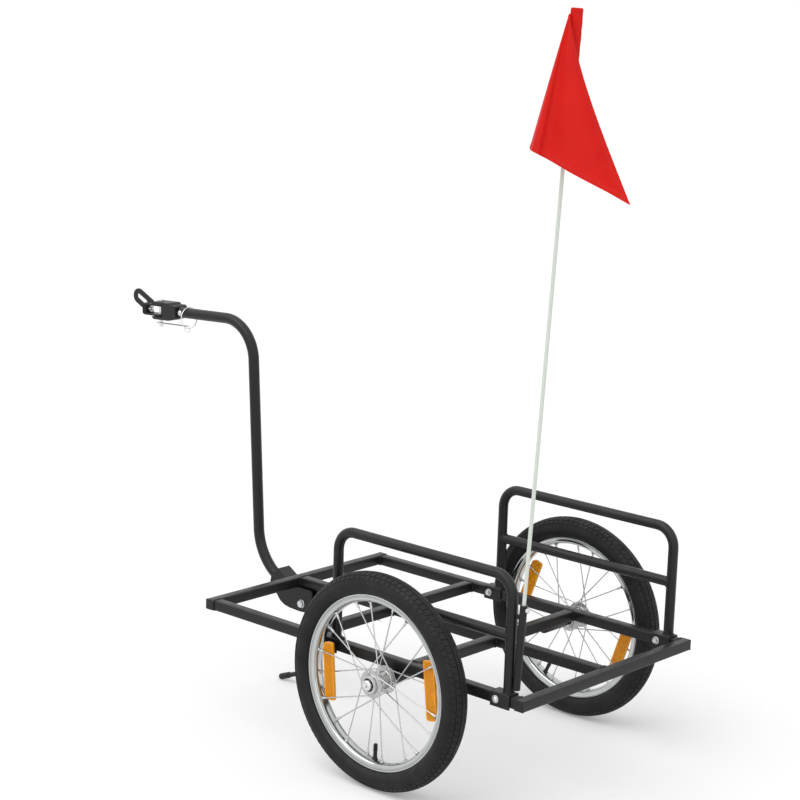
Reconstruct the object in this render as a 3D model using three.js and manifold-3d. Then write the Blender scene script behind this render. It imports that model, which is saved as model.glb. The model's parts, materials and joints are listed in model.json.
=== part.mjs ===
import * as THREE from 'three';
import { mergeVertices } from 'three/addons/utils/BufferGeometryUtils.js';
import Module from 'manifold-3d';

const wasm = await Module();
wasm.setup();

// Cargo bike trailer, all sizes in millimetres, +Z up.
// Until the last step x is measured from the wheel axis (front is -X), y from the middle
// plane (the left side is -Y) and z from the ground.

// Wheels
const RIM_RADIUS = 161;
const TYRE_RISE = 38.5;
const TYRE_HALF_WIDTH = 23.5;
const BEAD_DROP = 8;
const RIM_HALF_WIDTH = 14.5;
const RIM_DEPTH = 15;
const RIM_WALL = 2;
const RIM_WELL = 2;
const RIM_SHOULDER = 4;
const TYRE_WALL = 3.4;
const TREAD_WALL = 5;
const TREAD_DROP = 2;
const TYRE_SHOULDER = 2;
const TYRE_WIDTH_SHARES = [0.94, 0.8, 0.42, 0.55];
const BEAD_GAP = 0.4;
const TUBE_GAP = 0.4;
const TUBE_LIP = 2;
const TUBE_WALL = 2;
const WHEEL_STAND_OFF = 38;
const SPOKE_COUNT = 20;
const SPOKE_RADIUS = 1.15;
const NIPPLE_RADIUS = 2.2;
const NIPPLE_LENGTH = 11;
const SPOKE_CIRCLE_RADIUS = 21.5;
const SPOKE_STAGGER = 1.3;
const NIPPLE_STAGGER = 0.7;
const NIPPLE_GAP = 0.5;
const SPOKE_SWING = THREE.MathUtils.degToRad(62);
const NIPPLE_OFFSET = 5.4;
const FLANGE_RADIUS = 25.5;
const FLANGE_OFFSET = 18;
const FLANGE_THICKNESS = 3;
const HUB_BARREL_RADIUS = 15.5;
const HUB_END_RADIUS = 17.5;
const HUB_HALF_LENGTH = 27;
const HUB_BORE_RADIUS = 9;
const BEARING_RADIUS = 14;
const BEARING_WIDTH = 8;
const AXLE_RADIUS = 6;
const RUNNING_GAP = 0.1;
const AXLE_HEAD_RADIUS = 10;
const AXLE_HEAD_LENGTH = 7;
const AXLE_BEYOND_BOSS = 7;
const AXLE_BORE_RADIUS = 3.6;
const BUTTON_RADIUS = 3.5;
const BUTTON_LENGTH = 13;
const BUTTON_PROUD = 3.5;
const BUTTON_TRAVEL = 3;
const BUTTON_FLOOR_GAP = 0.3;
const BUTTON_ROUND = 1;
const HEAD_GAP = 0.3;
const HEAD_DOME_SHARES = [0.45, 0.85, 0.78, 0.55];
const BEARING_FIT = 0.1;
const DETENT_RADIUS = 2.2;
const DETENT_PROUD = 1.2;
const REFLECTOR_LENGTH = 108;
const REFLECTOR_WIDTH = 24;
const REFLECTOR_STAND_OFFS = [13, 10];
const REFLECTOR_OUTER_CORNER = 10;
const REFLECTOR_INNER_CORNER = 4;
const REFLECTOR_CORNER_STEPS = 5;
const REFLECTOR_HALF_THICKNESS = 2.5;
const VALVE_RADIUS = 4;
const VALVE_LENGTH = 30;
const LEFT_VALVE_ANGLE = THREE.MathUtils.degToRad(-91);
const RIGHT_VALVE_ANGLE = THREE.MathUtils.degToRad(-116);
const REFLECTOR_ANGLES = [THREE.MathUtils.degToRad(-84), THREE.MathUtils.degToRad(98)];

// Deck frame
const DECK_LENGTH = 790;
const DECK_WIDTH = 490;
const DECK_BEHIND_AXLE = 300;
const SQUARE_TUBE = 20;
const TUBE_THICKNESS = 1.5;
const BOSS_RADIUS = 13.5;
const BOSS_SEAT = 13;
const BOSS_OUT = 3;
const BOSS_IN = 60;
const PLUG_FLANGE = 2.5;
const PLUG_DEPTH = 12;
const PLUG_SLACK = 0.15;

// Side guards
const GUARD_LENGTH = 408;
const GUARD_CENTRE = 53;
const GUARD_RISE = 207.5;
const GUARD_RADIUS = 9.5;
const GUARD_WALL = 1.6;
const GUARD_BEND = 38;
const MID_BAR_RISE = 104;
const GUARD_BEND_STEPS = 5;
const VENT_RADIUS = 3;
const SADDLE_THICKNESS = 3;
const SADDLE_AHEAD = 30;
const SADDLE_BEHIND = 12;
const SADDLE_SHOULDER = 8;
const SADDLE_TOE = 4;
const SADDLE_DROP = 23.5;
const SADDLE_CLEAR = 0.1;
const GUARD_BOLT_AHEAD = 18;
const GUARD_BOLT_RADIUS = 3;
const GUARD_BOLT_CLEAR = 0.3;
const GUARD_HEAD_RADIUS = 5.6;
const GUARD_HEAD_HEIGHT = 4;
const GUARD_BOLT_TAIL = 2;

// Tow bar bracket, from the front cross tube's lower front edge: its side plates reach ahead and
// behind, below and above it, and their outline is given as shares of those four reaches.
const BRACKET_AHEAD = 59;
const BRACKET_BEHIND = 60;
const BRACKET_DEPTH = 49;
const BRACKET_RISE = 27;
const BRACKET_TOP_SHARES = [[1, 0], [0, 0], [0, 0.167], [-0.644, 1], [-0.949, 0.352], [-1, -0.092],
  [-0.881, -0.337]];
const BRACKET_NOSE_SHARES = [[-0.661, -0.561]];
const BRACKET_EAR_SHARES = [[-0.78, -0.592], [-0.61, -0.735]];
const BRACKET_BELLY_SHARES = [[-0.492, -0.786], [-0.305, -0.908], [-0.051, -0.969], [0.433, -1],
  [0.833, -0.969], [1, -0.816]];
const BRACKET_STRAP_DEPTH = 4;
const BRACKET_HALF_WIDTH = 16.5;
const BRACKET_SHEET = 3;
const TOW_PIVOT_BEHIND = 32;
const TOW_PIVOT_BELOW = 31.5;
// Tow bar, its corner points from the pivot
const TOW_BAR_RADIUS = 11;
const TOW_BAR_WALL = 2;
const TOW_TAIL = 15;
const TOW_TAIL_DROP = 6;
const TOW_KNEE_AHEAD = 139;
const TOW_KNEE_RISE = 57;
const TOW_KNEE_BEND = 110;
const TOW_ELBOW_AHEAD = 173;
const TOW_ELBOW_RISE = 550;
const TOW_ELBOW_BEND = 80;
const TOW_END_AHEAD = 388;
const TOW_END_RISE = 540;
const TOW_BEND_STEPS = 6;
const PIVOT_RADIUS = 4;
const PIVOT_SIDE_PLAY = 0.3;
const PIVOT_BUSH_RADIUS = 6.5;
const HEX8_RADIUS = 7.5;
const HEX8_HEIGHT = 5.5;
const BOLT_TAIL = 3;
const THREAD_GAP = 0.1;
const PLUNGER_AHEAD = 34;
const PLUNGER_BELOW = 26;
const PLUNGER_BODY_RADIUS = 6;
const PLUNGER_BODY_LENGTH = 14;
const PLUNGER_PIN_RADIUS = 3;
const PLUNGER_NOSE_GAP = 0.4;
const PLUNGER_KNOB_RADIUS = 4;
const PLUNGER_KNOB_LENGTH = 7;
const PLUNGER_KNOB_GAP = 0.2;
const PULL_RING_RADIUS = 17;
const PULL_WIRE_RADIUS = 0.9;
const PULL_EYE_RADIUS = 2.2;
const PULL_RING_REST = 0.8;

// Hitch, from the tow bar's front end centre (forward is -X)
const HITCH_SHANK = 42;
const HITCH_SHANK_SLACK = 0.6;
const HITCH_SEAT_GAP = 0.3;
const HITCH_COLLAR_RADIUS = 14.5;
const HITCH_COLLAR = 22;
const HITCH_BODY = 52;
const HITCH_HALF_HEIGHT = 18.5;
const HITCH_HALF_WIDTH = 17;
const HITCH_BEVEL = 5;
const HITCH_TAIL = 5;
const HITCH_SLOT_HALF_HEIGHT = 13;
const HITCH_SLOT_DEPTH = 32;
const HITCH_CLAMP_BACK = 8;
const HITCH_CLAMP_RADIUS = 3;
const HITCH_CLAMP_HEAD_RADIUS = 6;
const HITCH_CLAMP_HEAD = 3.5;
const HITCH_CLAMP_SEAT = 0.1;
const HITCH_PIN_RADIUS = 4.5;
const HITCH_PIN_AHEAD = 63;
const HITCH_PIN_HEAD_RADIUS = 8;
const HITCH_PIN_HEAD = 3;
const HITCH_PIN_BELOW = 17;
const HITCH_PIN_HOLE_RADIUS = 1.5;
const HITCH_PIN_HOLE_UP = 8;
const YOKE_WIDTH = 24;
const YOKE_SHEET = 4;
const YOKE_HALF_HEIGHT = 12.5;
const YOKE_REACH = 40;
const YOKE_BEHIND_PIN = 11;
const SWIVEL_RADIUS = 4;
const SWIVEL_NUT_HEIGHT = 6.5;
const SWIVEL_NUT_RADIUS = 7.3;
const SWIVEL_TAIL = 3;
const SWIVEL_SEAT_GAP = 0.1;
const SWIVEL_WASHER_RADIUS = 9;
const SWIVEL_WASHER = 1.6;
const SWIVEL_GAP = 0.3;
const EYE_SHEET = 4;
const EYE_TAB_HALF_HEIGHT = 12;
const EYE_TAB_NEAR = 12;
const EYE_SIDE = 15;
const EYE_LENGTH = 62;
const EYE_HALF_WIDTH = 16;
const EYE_SLOT_HALF_WIDTH = 5.2;
const EYE_SLOT_LENGTH = 36;
const EYE_TILT = THREE.MathUtils.degToRad(28);
const EYE_NECK = 22;
const EYE_END_STEPS = 7;
const CLIP_WIRE_RADIUS = 1.1;
const CLIP_SPREAD = 6;
const CLIP_REACH = 85;
const CLIP_TIP = 14;
const CLIP_COIL_RADIUS = 6.5;
const CLIP_COIL_STEPS = 10;
const CLIP_RING_BACK = 3;
const CLIP_RING_RADIUS = 22.2;
const CLIP_RING_WIRE_RADIUS = 1.1;
const CLIP_RING_GAP = 0.4;

// Kickstand, from the front cross tube's lower front edge
const KICK_PIVOT_BEHIND = 78;
const KICK_PIVOT_BELOW = 16.5;
const KICK_BRACKET_HALF_LENGTH = 14;
const KICK_SHEET = 3;
const KICK_GAP = 0.4;
const KICK_BELOW_PIVOT = 9;
const KICK_ROD_RADIUS = 5;
const KICK_HEEL_AHEAD = 52;
const KICK_HEEL_HEIGHT = 30;
const KICK_HEEL_BEND = 28;
const KICK_BEND_STEPS = 5;
const KICK_FOOT_REACH = 62;
const KICK_BOSS_RADIUS = 8.5;
const KICK_PIN_RADIUS = 3;
const KICK_PIN_HEAD_RADIUS = 5;
const KICK_PIN_HEAD = 3;
const KICK_CAP_RADIUS = 6.5;
const KICK_CAP_LENGTH = 24;
const CAP_DOME_SHARES = [0.87, 0.5];
const KICK_CLIP_BACK = 218;
const KICK_CLIP_HALF_LENGTH = 7;
const KICK_CLIP_HALF_GAP = 5.6;
const KICK_CLIP_SHEET = 1.5;
const KICK_CLIP_FLARE = 5;
const KICK_CLIP_DROP = 29;

// Flag
const SOCKET_RADIUS = 6.5;
const SOCKET_BORE_RADIUS = 3.9;
const SOCKET_BOTTOM_RISE = 12;
const SOCKET_TOP_RISE = 164;
const SOCKET_FLOOR = 5;
const SOCKET_WEB = 2;
const SOCKET_WEB_HEIGHT = 4;
const SOCKET_STAND_OFF = 0.5;
const SOCKET_WEB_SHARES = [0.15, 0.85];
const POLE_RADIUS = 3.4;
const POLE_TOP_RISE = 1152;
const POLE_LEAN = 60;
const SCREW_RADIUS = 2.5;
const SCREW_HEAD_RADIUS = 4.6;
const SCREW_HEAD = 5;
const SCREW_BELOW_TOP = 8;
const SCREW_NOSE_GAP = 0.3;
const SCREW_FACE_GAP = 0.3;
const SLEEVE_RADIUS = 5.4;
const SLEEVE_BORE_RADIUS = 3.9;
const SLEEVE_TOP_WALL = 2;
const FLAG_HOIST = 252;
const FLAG_LEADING = 318;
const FLAG_THICKNESS = 0.8;
const FLAG_START = 8;
const FLAG_SEAM_GAP = 0.3;
const FLAG_SEAM_TURN = THREE.MathUtils.degToRad(45);
const FLAG_CREASE_COUNT = 26;
const FLAG_BAND_COUNT = 4;
const FLAG_FOLD_SHARES = [[0, 0], [-0.08, -0.07], [-0.15, -0.1], [-0.195, -0.07], [-0.212, 0.01],
  [-0.19, 0.1], [-0.12, 0.15], [-0.02, 0.165], [0.08, 0.205], [0.17, 0.27], [0.27, 0.285], [0.37, 0.37]];
const FLAG_BOW = 12;
const FLAG_TURN = THREE.MathUtils.degToRad(42);

// Derived places
const TYRE_RADIUS = RIM_RADIUS + TYRE_RISE;
const BEAD_RADIUS = RIM_RADIUS - BEAD_DROP;
const AXLE_HEIGHT = TYRE_RADIUS;
const DECK_BOTTOM = AXLE_HEIGHT + BOSS_SEAT;
const DECK_TOP = DECK_BOTTOM + SQUARE_TUBE;
const HALF_TUBE = SQUARE_TUBE / 2;
const HALF_DECK = DECK_WIDTH / 2;
const DECK_REAR = DECK_BEHIND_AXLE;
const DECK_FRONT = DECK_REAR - DECK_LENGTH;
const RAIL_Y = HALF_DECK - HALF_TUBE;
const RAIL_FRONT = DECK_FRONT + SQUARE_TUBE;
const RAIL_REAR = DECK_REAR - SQUARE_TUBE;
const CROSS_PITCH = (DECK_LENGTH - SQUARE_TUBE) / 3;
const CROSS_A = DECK_FRONT + HALF_TUBE + CROSS_PITCH;
const CROSS_B = CROSS_A + CROSS_PITCH;
const WHEEL_Y = HALF_DECK + WHEEL_STAND_OFF;
const BOSS_OUTER_Y = HALF_DECK + BOSS_OUT;
const BOSS_INNER_Y = HALF_DECK - BOSS_IN;
const GUARD_LEGS = [GUARD_CENTRE - GUARD_LENGTH / 2, GUARD_CENTRE + GUARD_LENGTH / 2];
const GUARD_TOP = DECK_TOP + GUARD_RISE;
const MID_BAR_Z = DECK_TOP + MID_BAR_RISE;
const LEG_BOTTOM = DECK_TOP + SADDLE_THICKNESS;
const BRACKET_INNER = BRACKET_HALF_WIDTH - BRACKET_SHEET;
const fromCorner = (behind, above) => [DECK_FRONT + behind, DECK_BOTTOM + above];
const PIVOT = fromCorner(TOW_PIVOT_BEHIND, -TOW_PIVOT_BELOW);
const fromPivot = (ahead, above) => [PIVOT[0] - ahead, PIVOT[1] + above];
const TOW_TIP = fromPivot(TOW_END_AHEAD, TOW_END_RISE);
const KICK = fromCorner(KICK_PIVOT_BEHIND, -KICK_PIVOT_BELOW);

const SIDES_FINE = 34;
const SIDES_SHAFT = 24;
const SIDES_ROUND = 12;
const SIDES_TUBE = 10;
const SIDES_BORE = 8;
const SIDES_WIRE = 6;
const SIDES_RING_WIRE = 5;
const RING_STEPS = 20;
const SIDES_SPOKE = 5;
const SIDES_BALL = 6;
const BALL_BANDS = 5;
const SIDES_HEX = 6;

// Colour, roughness and metalness of each finish.
const FINISHES = {
  frame: [0x1c1d1f, 0.45, 0.2],
  plastic: [0x151515, 0.6, 0],
  rubber: [0x161616, 0.85, 0],
  steel: [0xb9bcc0, 0.25, 1],
  zinc: [0xa9adb0, 0.35, 1],
  alloy: [0xc9ccce, 0.3, 1],
  amber: [0xe08a12, 0.2, 0],
  flag: [0xd9261f, 0.9, 0],
  pole: [0xdfe6df, 0.5, 0],
  bearing: [0x2a2b2d, 0.5, 0.3],
};

const group = new THREE.Group();
group.name = 'cargo_bike_trailer';
const trailer = new THREE.Group();
group.add(trailer);

function subGroup(parent, x = 0, y = 0, z = 0) {
  const g = new THREE.Group();
  g.position.set(x, y, z);
  parent.add(g);
  return g;
}

function volume(geometry) {
  const p = geometry.attributes.position;
  const index = geometry.index;
  const a = new THREE.Vector3();
  const b = new THREE.Vector3();
  const c = new THREE.Vector3();
  let sum = 0;
  for (let i = 0; i < index.count; i += 3) {
    a.fromBufferAttribute(p, index.getX(i));
    b.fromBufferAttribute(p, index.getX(i + 1));
    c.fromBufferAttribute(p, index.getX(i + 2));
    sum += a.dot(b.cross(c));
  }
  return sum / 6;
}

// A closed indexed solid whose faces look outward.
function solid(geometry) {
  geometry.deleteAttribute('normal');
  if (geometry.attributes.uv) {
    geometry.deleteAttribute('uv');
  }
  const welded = mergeVertices(geometry, 1e-3);
  const kept = [];
  const index = welded.index.array;
  for (let i = 0; i < index.length; i += 3) {
    const [a, b, c] = [index[i], index[i + 1], index[i + 2]];
    if (a !== b && b !== c && c !== a) {
      kept.push(a, b, c);
    }
  }
  welded.setIndex(kept);
  if (volume(welded) < 0) {
    for (let i = 0; i < kept.length; i += 3) {
      [kept[i + 1], kept[i + 2]] = [kept[i + 2], kept[i + 1]];
    }
    welded.setIndex(kept);
  }
  return welded;
}

function toManifold(geometry) {
  const g = solid(geometry.clone());
  const mesh = new wasm.Mesh({
    numProp: 3,
    vertProperties: new Float32Array(g.attributes.position.array),
    triVerts: new Uint32Array(g.index.array),
  });
  return new wasm.Manifold(mesh);
}

function fromManifold(body) {
  const mesh = body.getMesh();
  const g = new THREE.BufferGeometry();
  const n = mesh.vertProperties.length / mesh.numProp;
  const positions = new Float32Array(n * 3);
  for (let i = 0; i < n; i += 1) {
    for (let k = 0; k < 3; k += 1) {
      positions[3 * i + k] = mesh.vertProperties[i * mesh.numProp + k];
    }
  }
  g.setAttribute('position', new THREE.BufferAttribute(positions, 3));
  g.setIndex(Array.from(mesh.triVerts));
  return g;
}

function cut(base, ...tools) {
  let body = toManifold(base);
  for (const tool of tools) {
    body = body.subtract(toManifold(tool));
  }
  return fromManifold(body);
}

function join(base, ...others) {
  let body = toManifold(base);
  for (const other of others) {
    body = body.add(toManifold(other));
  }
  return fromManifold(body);
}

function add(parent, name, colour, geometry) {
  const flat = solid(geometry).toNonIndexed();
  flat.computeVertexNormals();
  const [color, roughness, metalness] = FINISHES[colour];
  const finish = new THREE.MeshStandardMaterial({ color, roughness, metalness });
  const mesh = new THREE.Mesh(flat, finish);
  mesh.name = name;
  parent.add(mesh);
  return mesh;
}

function box(x0, x1, y0, y1, z0, z1) {
  const g = solid(new THREE.BoxGeometry(Math.abs(x1 - x0), Math.abs(y1 - y0), Math.abs(z1 - z0)));
  g.translate((x0 + x1) / 2, (y0 + y1) / 2, (z0 + z1) / 2);
  return g;
}

// A solid of revolution about a line through [x, z] along Y; the profile is [radius, y] pairs.
function turned(profile, x, z, sides, turn = 0) {
  const loop = [...profile, profile[0]].map(([r, y]) => new THREE.Vector2(r, y));
  const g = solid(new THREE.LatheGeometry(loop, sides));
  g.rotateY(turn);
  g.translate(x, 0, z);
  return g;
}

function pinY(radius, x, z, y0, y1, sides = SIDES_ROUND) {
  const g = solid(new THREE.CylinderGeometry(radius, radius, Math.abs(y1 - y0), sides));
  g.translate(x, (y0 + y1) / 2, z);
  return g;
}

function pinX(radius, y, z, x0, x1, sides = SIDES_ROUND) {
  const g = solid(new THREE.CylinderGeometry(radius, radius, Math.abs(x1 - x0), sides));
  g.rotateZ(Math.PI / 2);
  g.translate((x0 + x1) / 2, y, z);
  return g;
}

function pinZ(radius, x, y, z0, z1, sides = SIDES_ROUND) {
  const g = solid(new THREE.CylinderGeometry(radius, radius, Math.abs(z1 - z0), sides));
  g.rotateX(Math.PI / 2);
  g.translate(x, y, (z0 + z1) / 2);
  return g;
}

// A plate whose outline is in the x, z plane, between two y values.
function plateY(outline, y0, y1, holes = []) {
  const shape = new THREE.Shape(outline.map(([x, z]) => new THREE.Vector2(x, z)));
  for (const hole of holes) {
    shape.holes.push(new THREE.Path(hole.map(([x, z]) => new THREE.Vector2(x, z))));
  }
  const g = solid(new THREE.ExtrudeGeometry(shape, { depth: Math.abs(y1 - y0), bevelEnabled: false }));
  g.rotateX(Math.PI / 2);
  g.translate(0, Math.max(y0, y1), 0);
  return g;
}

function circle(radius, x, z, sides, turn = 0) {
  const points = [];
  for (let i = 0; i < sides; i += 1) {
    const a = turn + (2 * Math.PI * i) / sides;
    points.push([x + radius * Math.cos(a), z + radius * Math.sin(a)]);
  }
  return points;
}

// A square tube along X or Y with open ends.
function squareTube(along, from, to, across) {
  const h = HALF_TUBE;
  const w = HALF_TUBE - TUBE_THICKNESS;
  const ring = (s) => [[-s, -s], [s, -s], [s, s], [-s, s]];
  const g = plateY(ring(h), 0, to - from, [ring(w)]);
  const z = DECK_BOTTOM + HALF_TUBE;
  if (along === 'y') {
    g.translate(across, from, z);
  } else {
    g.rotateZ(-Math.PI / 2);
    g.translate(from, across, z);
  }
  return g;
}

// Points along a chain of straight lines in which each inner corner is rounded.
function rounded(points, radii, steps) {
  const out = [points[0].clone()];
  for (let i = 1; i < points.length - 1; i += 1) {
    const corner = points[i];
    const back = points[i - 1].clone().sub(corner).normalize();
    const ahead = points[i + 1].clone().sub(corner).normalize();
    const half = back.angleTo(ahead) / 2;
    const reach = radii[i - 1] / Math.tan(half);
    const middle = back.clone().add(ahead).setLength(radii[i - 1] / Math.sin(half)).add(corner);
    const start = back.clone().multiplyScalar(reach).add(corner).sub(middle);
    const axis = back.clone().cross(ahead).normalize();
    const sweep = Math.PI - 2 * half;
    for (let k = 0; k <= steps; k += 1) {
      out.push(start.clone().applyAxisAngle(axis, (-sweep * k) / steps).add(middle));
    }
  }
  out.push(points[points.length - 1].clone());
  return out;
}

// A route through given points: each step of an extrusion along it lands on one of them.
class Route extends THREE.Curve {
  constructor(points) {
    super();
    this.points = points;
  }

  getPoint(t, target = new THREE.Vector3()) {
    const place = t * (this.points.length - 1);
    const i = Math.min(Math.floor(place + 1e-9), this.points.length - 2);
    return target.copy(this.points[i]).lerp(this.points[i + 1], place - i);
  }

  getPointAt(u, target) {
    return this.getPoint(u, target);
  }

  getTangentAt(u, target = new THREE.Vector3()) {
    const i = Math.round(u * (this.points.length - 1));
    const before = this.points[Math.max(i - 1, 0)];
    const after = this.points[Math.min(i + 1, this.points.length - 1)];
    const back = this.points[i].clone().sub(before).normalize();
    const ahead = after.clone().sub(this.points[i]).normalize();
    return target.copy(back.add(ahead)).normalize();
  }
}

function rodAlong(points, radius, sides) {
  const ring = circle(radius, 0, 0, sides, Math.PI / sides).map(([x, z]) => new THREE.Vector2(x, z));
  const options = { steps: points.length - 1, extrudePath: new Route(points) };
  return solid(new THREE.ExtrudeGeometry(new THREE.Shape(ring), options));
}

// A ring of wire round a centre, in the plane of X and Z or of Y and Z.
function wireRing(centre, radius, wire, acrossX) {
  const g = solid(new THREE.TorusGeometry(radius, wire, SIDES_RING_WIRE, RING_STEPS));
  if (acrossX) {
    g.rotateY(Math.PI / 2);
  } else {
    g.rotateX(Math.PI / 2);
  }
  g.translate(centre.x, centre.y, centre.z);
  return g;
}

// A turned solid whose profile is [radius, distance along the axis] pairs.
function turnedAlong(profile, origin, direction, sides) {
  const loop = [...profile, profile[0]].map(([r, y]) => new THREE.Vector2(r, y));
  const g = solid(new THREE.LatheGeometry(loop, sides));
  g.applyQuaternion(new THREE.Quaternion().setFromUnitVectors(vec(0, 1, 0), direction));
  g.translate(origin.x, origin.y, origin.z);
  return g;
}

const vec = (x, y, z) => new THREE.Vector3(x, y, z);

// The radius whose many-sided bore clears a round of the given radius.
const around = (radius, sides) => radius / Math.cos(Math.PI / sides);

// The radius whose many-sided section has the area of a round of the given radius.
const sameArea = (radius, sides) => {
  const wedge = (2 * Math.PI) / sides;
  return radius * Math.sqrt(wedge / Math.sin(wedge));
};

// Deck frame: two full cross tubes, two side rails with the axle bosses welded under them,
// and a centre rail with two cross members.
const deck = subGroup(trailer);
add(deck, 'front_cross_tube', 'frame', squareTube('y', -HALF_DECK, HALF_DECK, DECK_FRONT + HALF_TUBE));
add(deck, 'rear_cross_tube', 'frame', squareTube('y', -HALF_DECK, HALF_DECK, DECK_REAR - HALF_TUBE));

const BOLT_Z = DECK_BOTTOM + HALF_TUBE;
const BOLT_XS = GUARD_LEGS.map((x) => x - GUARD_BOLT_AHEAD);
const BOSS_BORE = AXLE_RADIUS + RUNNING_GAP;
const WELD = TUBE_THICKNESS / 2;
for (const [name, s] of [['left', -1], ['right', 1]]) {
  const rail = squareTube('x', RAIL_FRONT, RAIL_REAR, s * RAIL_Y);
  const drills = BOLT_XS.map((x) => pinY(GUARD_BOLT_RADIUS + GUARD_BOLT_CLEAR, x, BOLT_Z,
    s * (HALF_DECK - 2 * SQUARE_TUBE), s * (HALF_DECK + SQUARE_TUBE), SIDES_BORE));
  const barrel = pinY(BOSS_RADIUS, 0, AXLE_HEIGHT, s * BOSS_INNER_Y, s * BOSS_OUTER_Y, SIDES_SHAFT);
  const bore = pinY(BOSS_BORE, 0, AXLE_HEIGHT, s * (BOSS_INNER_Y - BOSS_IN),
    s * (BOSS_OUTER_Y + BOSS_IN), SIDES_SHAFT);
  const flat = box(-BOSS_IN, BOSS_IN, s * (BOSS_INNER_Y - BOSS_IN), s * (BOSS_OUTER_Y + BOSS_IN),
    DECK_BOTTOM + WELD, DECK_BOTTOM + BOSS_RADIUS);
  add(deck, `${name}_rail`, 'frame', cut(join(rail, cut(barrel, flat)), bore, ...drills));
}

const crossHalves = [CROSS_A, CROSS_B].flatMap((x) => [
  squareTube('y', SQUARE_TUBE - HALF_DECK, WELD - HALF_TUBE, x),
  squareTube('y', HALF_TUBE - WELD, HALF_DECK - SQUARE_TUBE, x)]);
add(deck, 'centre_rail_and_cross_members', 'frame',
  join(squareTube('x', RAIL_FRONT, RAIL_REAR, 0), ...crossHalves));

for (const [end, x] of [['front', DECK_FRONT + HALF_TUBE], ['rear', DECK_REAR - HALF_TUBE]]) {
  for (const [side, s] of [['left', -1], ['right', 1]]) {
    const w = HALF_TUBE - TUBE_THICKNESS - PLUG_SLACK;
    const y0 = s * HALF_DECK;
    const flange = box(x - HALF_TUBE, x + HALF_TUBE, y0, y0 + s * PLUG_FLANGE, DECK_BOTTOM, DECK_TOP);
    const spigot = box(x - w, x + w, y0 - s * PLUG_DEPTH, y0 + (s * PLUG_FLANGE) / 2,
      BOLT_Z - w, BOLT_Z + w);
    add(deck, `${end}_${side}_tube_plug`, 'plastic', join(flange, spigot));
  }
}

// Side guards: a hoop with a mid bar, welded on two saddles that straddle the rail.
const guards = subGroup(trailer);
const CHEEK_OUT = HALF_DECK + SADDLE_CLEAR;
const CHEEK_IN = HALF_DECK - SQUARE_TUBE - SADDLE_CLEAR;
for (const [name, s] of [['left', -1], ['right', 1]]) {
  const y = s * RAIL_Y;
  const legs = GUARD_LEGS;
  const foot = LEG_BOTTOM - SADDLE_THICKNESS / 2;
  const hoop = (z) => rounded([vec(legs[0], y, z), vec(legs[0], y, GUARD_TOP),
    vec(legs[1], y, GUARD_TOP), vec(legs[1], y, z)], [GUARD_BEND, GUARD_BEND], GUARD_BEND_STEPS);
  const inside = sameArea(GUARD_RADIUS - GUARD_WALL, SIDES_HEX);
  const saddles = [];
  const vents = [];
  for (const [end, x] of [['front', legs[0]], ['rear', legs[1]]]) {
    const out = CHEEK_OUT + SADDLE_THICKNESS;
    const inn = CHEEK_IN - SADDLE_THICKNESS;
    const outline = [[x - SADDLE_AHEAD, LEG_BOTTOM], [x + SADDLE_BEHIND, LEG_BOTTOM],
      [x + SADDLE_BEHIND, DECK_TOP - SADDLE_SHOULDER], [x - SADDLE_TOE, DECK_TOP - SADDLE_DROP],
      [x - SADDLE_AHEAD + SADDLE_TOE, DECK_TOP - SADDLE_DROP],
      [x - SADDLE_AHEAD, DECK_TOP - SADDLE_DROP + SADDLE_TOE]];
    const bx = x - GUARD_BOLT_AHEAD;
    const hole = circle(GUARD_BOLT_RADIUS + GUARD_BOLT_CLEAR, bx, BOLT_Z, SIDES_BORE);
    saddles.push(box(x - SADDLE_AHEAD, x + SADDLE_BEHIND, s * out, s * inn, DECK_TOP, LEG_BOTTOM),
      plateY(outline, s * CHEEK_OUT, s * out, [hole]), plateY(outline, s * inn, s * CHEEK_IN, [hole]));
    vents.push(pinZ(VENT_RADIUS, x, y, DECK_TOP - SADDLE_THICKNESS, LEG_BOTTOM + SADDLE_THICKNESS));
    const headTop = s * (out + GUARD_HEAD_HEIGHT);
    const headWaist = s * (out + GUARD_HEAD_HEIGHT / 2);
    const boltTip = s * (inn - GUARD_HEAD_HEIGHT - GUARD_BOLT_TAIL);
    add(guards, `${name}_${end}_guard_bolt`, 'zinc', join(
      pinY(GUARD_BOLT_RADIUS, bx, BOLT_Z, boltTip, headWaist, SIDES_BORE),
      turned([[0, s * out], [GUARD_HEAD_RADIUS, s * out], [GUARD_HEAD_RADIUS, headWaist],
        [GUARD_HEAD_RADIUS / 2, headTop], [0, headTop]], bx, BOLT_Z, SIDES_ROUND),
      plateY(circle(GUARD_HEAD_RADIUS, bx, BOLT_Z, SIDES_HEX), s * (inn - GUARD_HEAD_HEIGHT), s * inn)));
  }
  add(guards, `${name}_guard`, 'frame', cut(
    join(rodAlong(hoop(foot), GUARD_RADIUS, SIDES_TUBE),
      pinX(GUARD_RADIUS, y, MID_BAR_Z, legs[0], legs[1], SIDES_TUBE), ...saddles),
    rodAlong(hoop(LEG_BOTTOM), inside, SIDES_HEX),
    pinX(inside, y, MID_BAR_Z, legs[0], legs[1], SIDES_HEX), ...vents));
}

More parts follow.
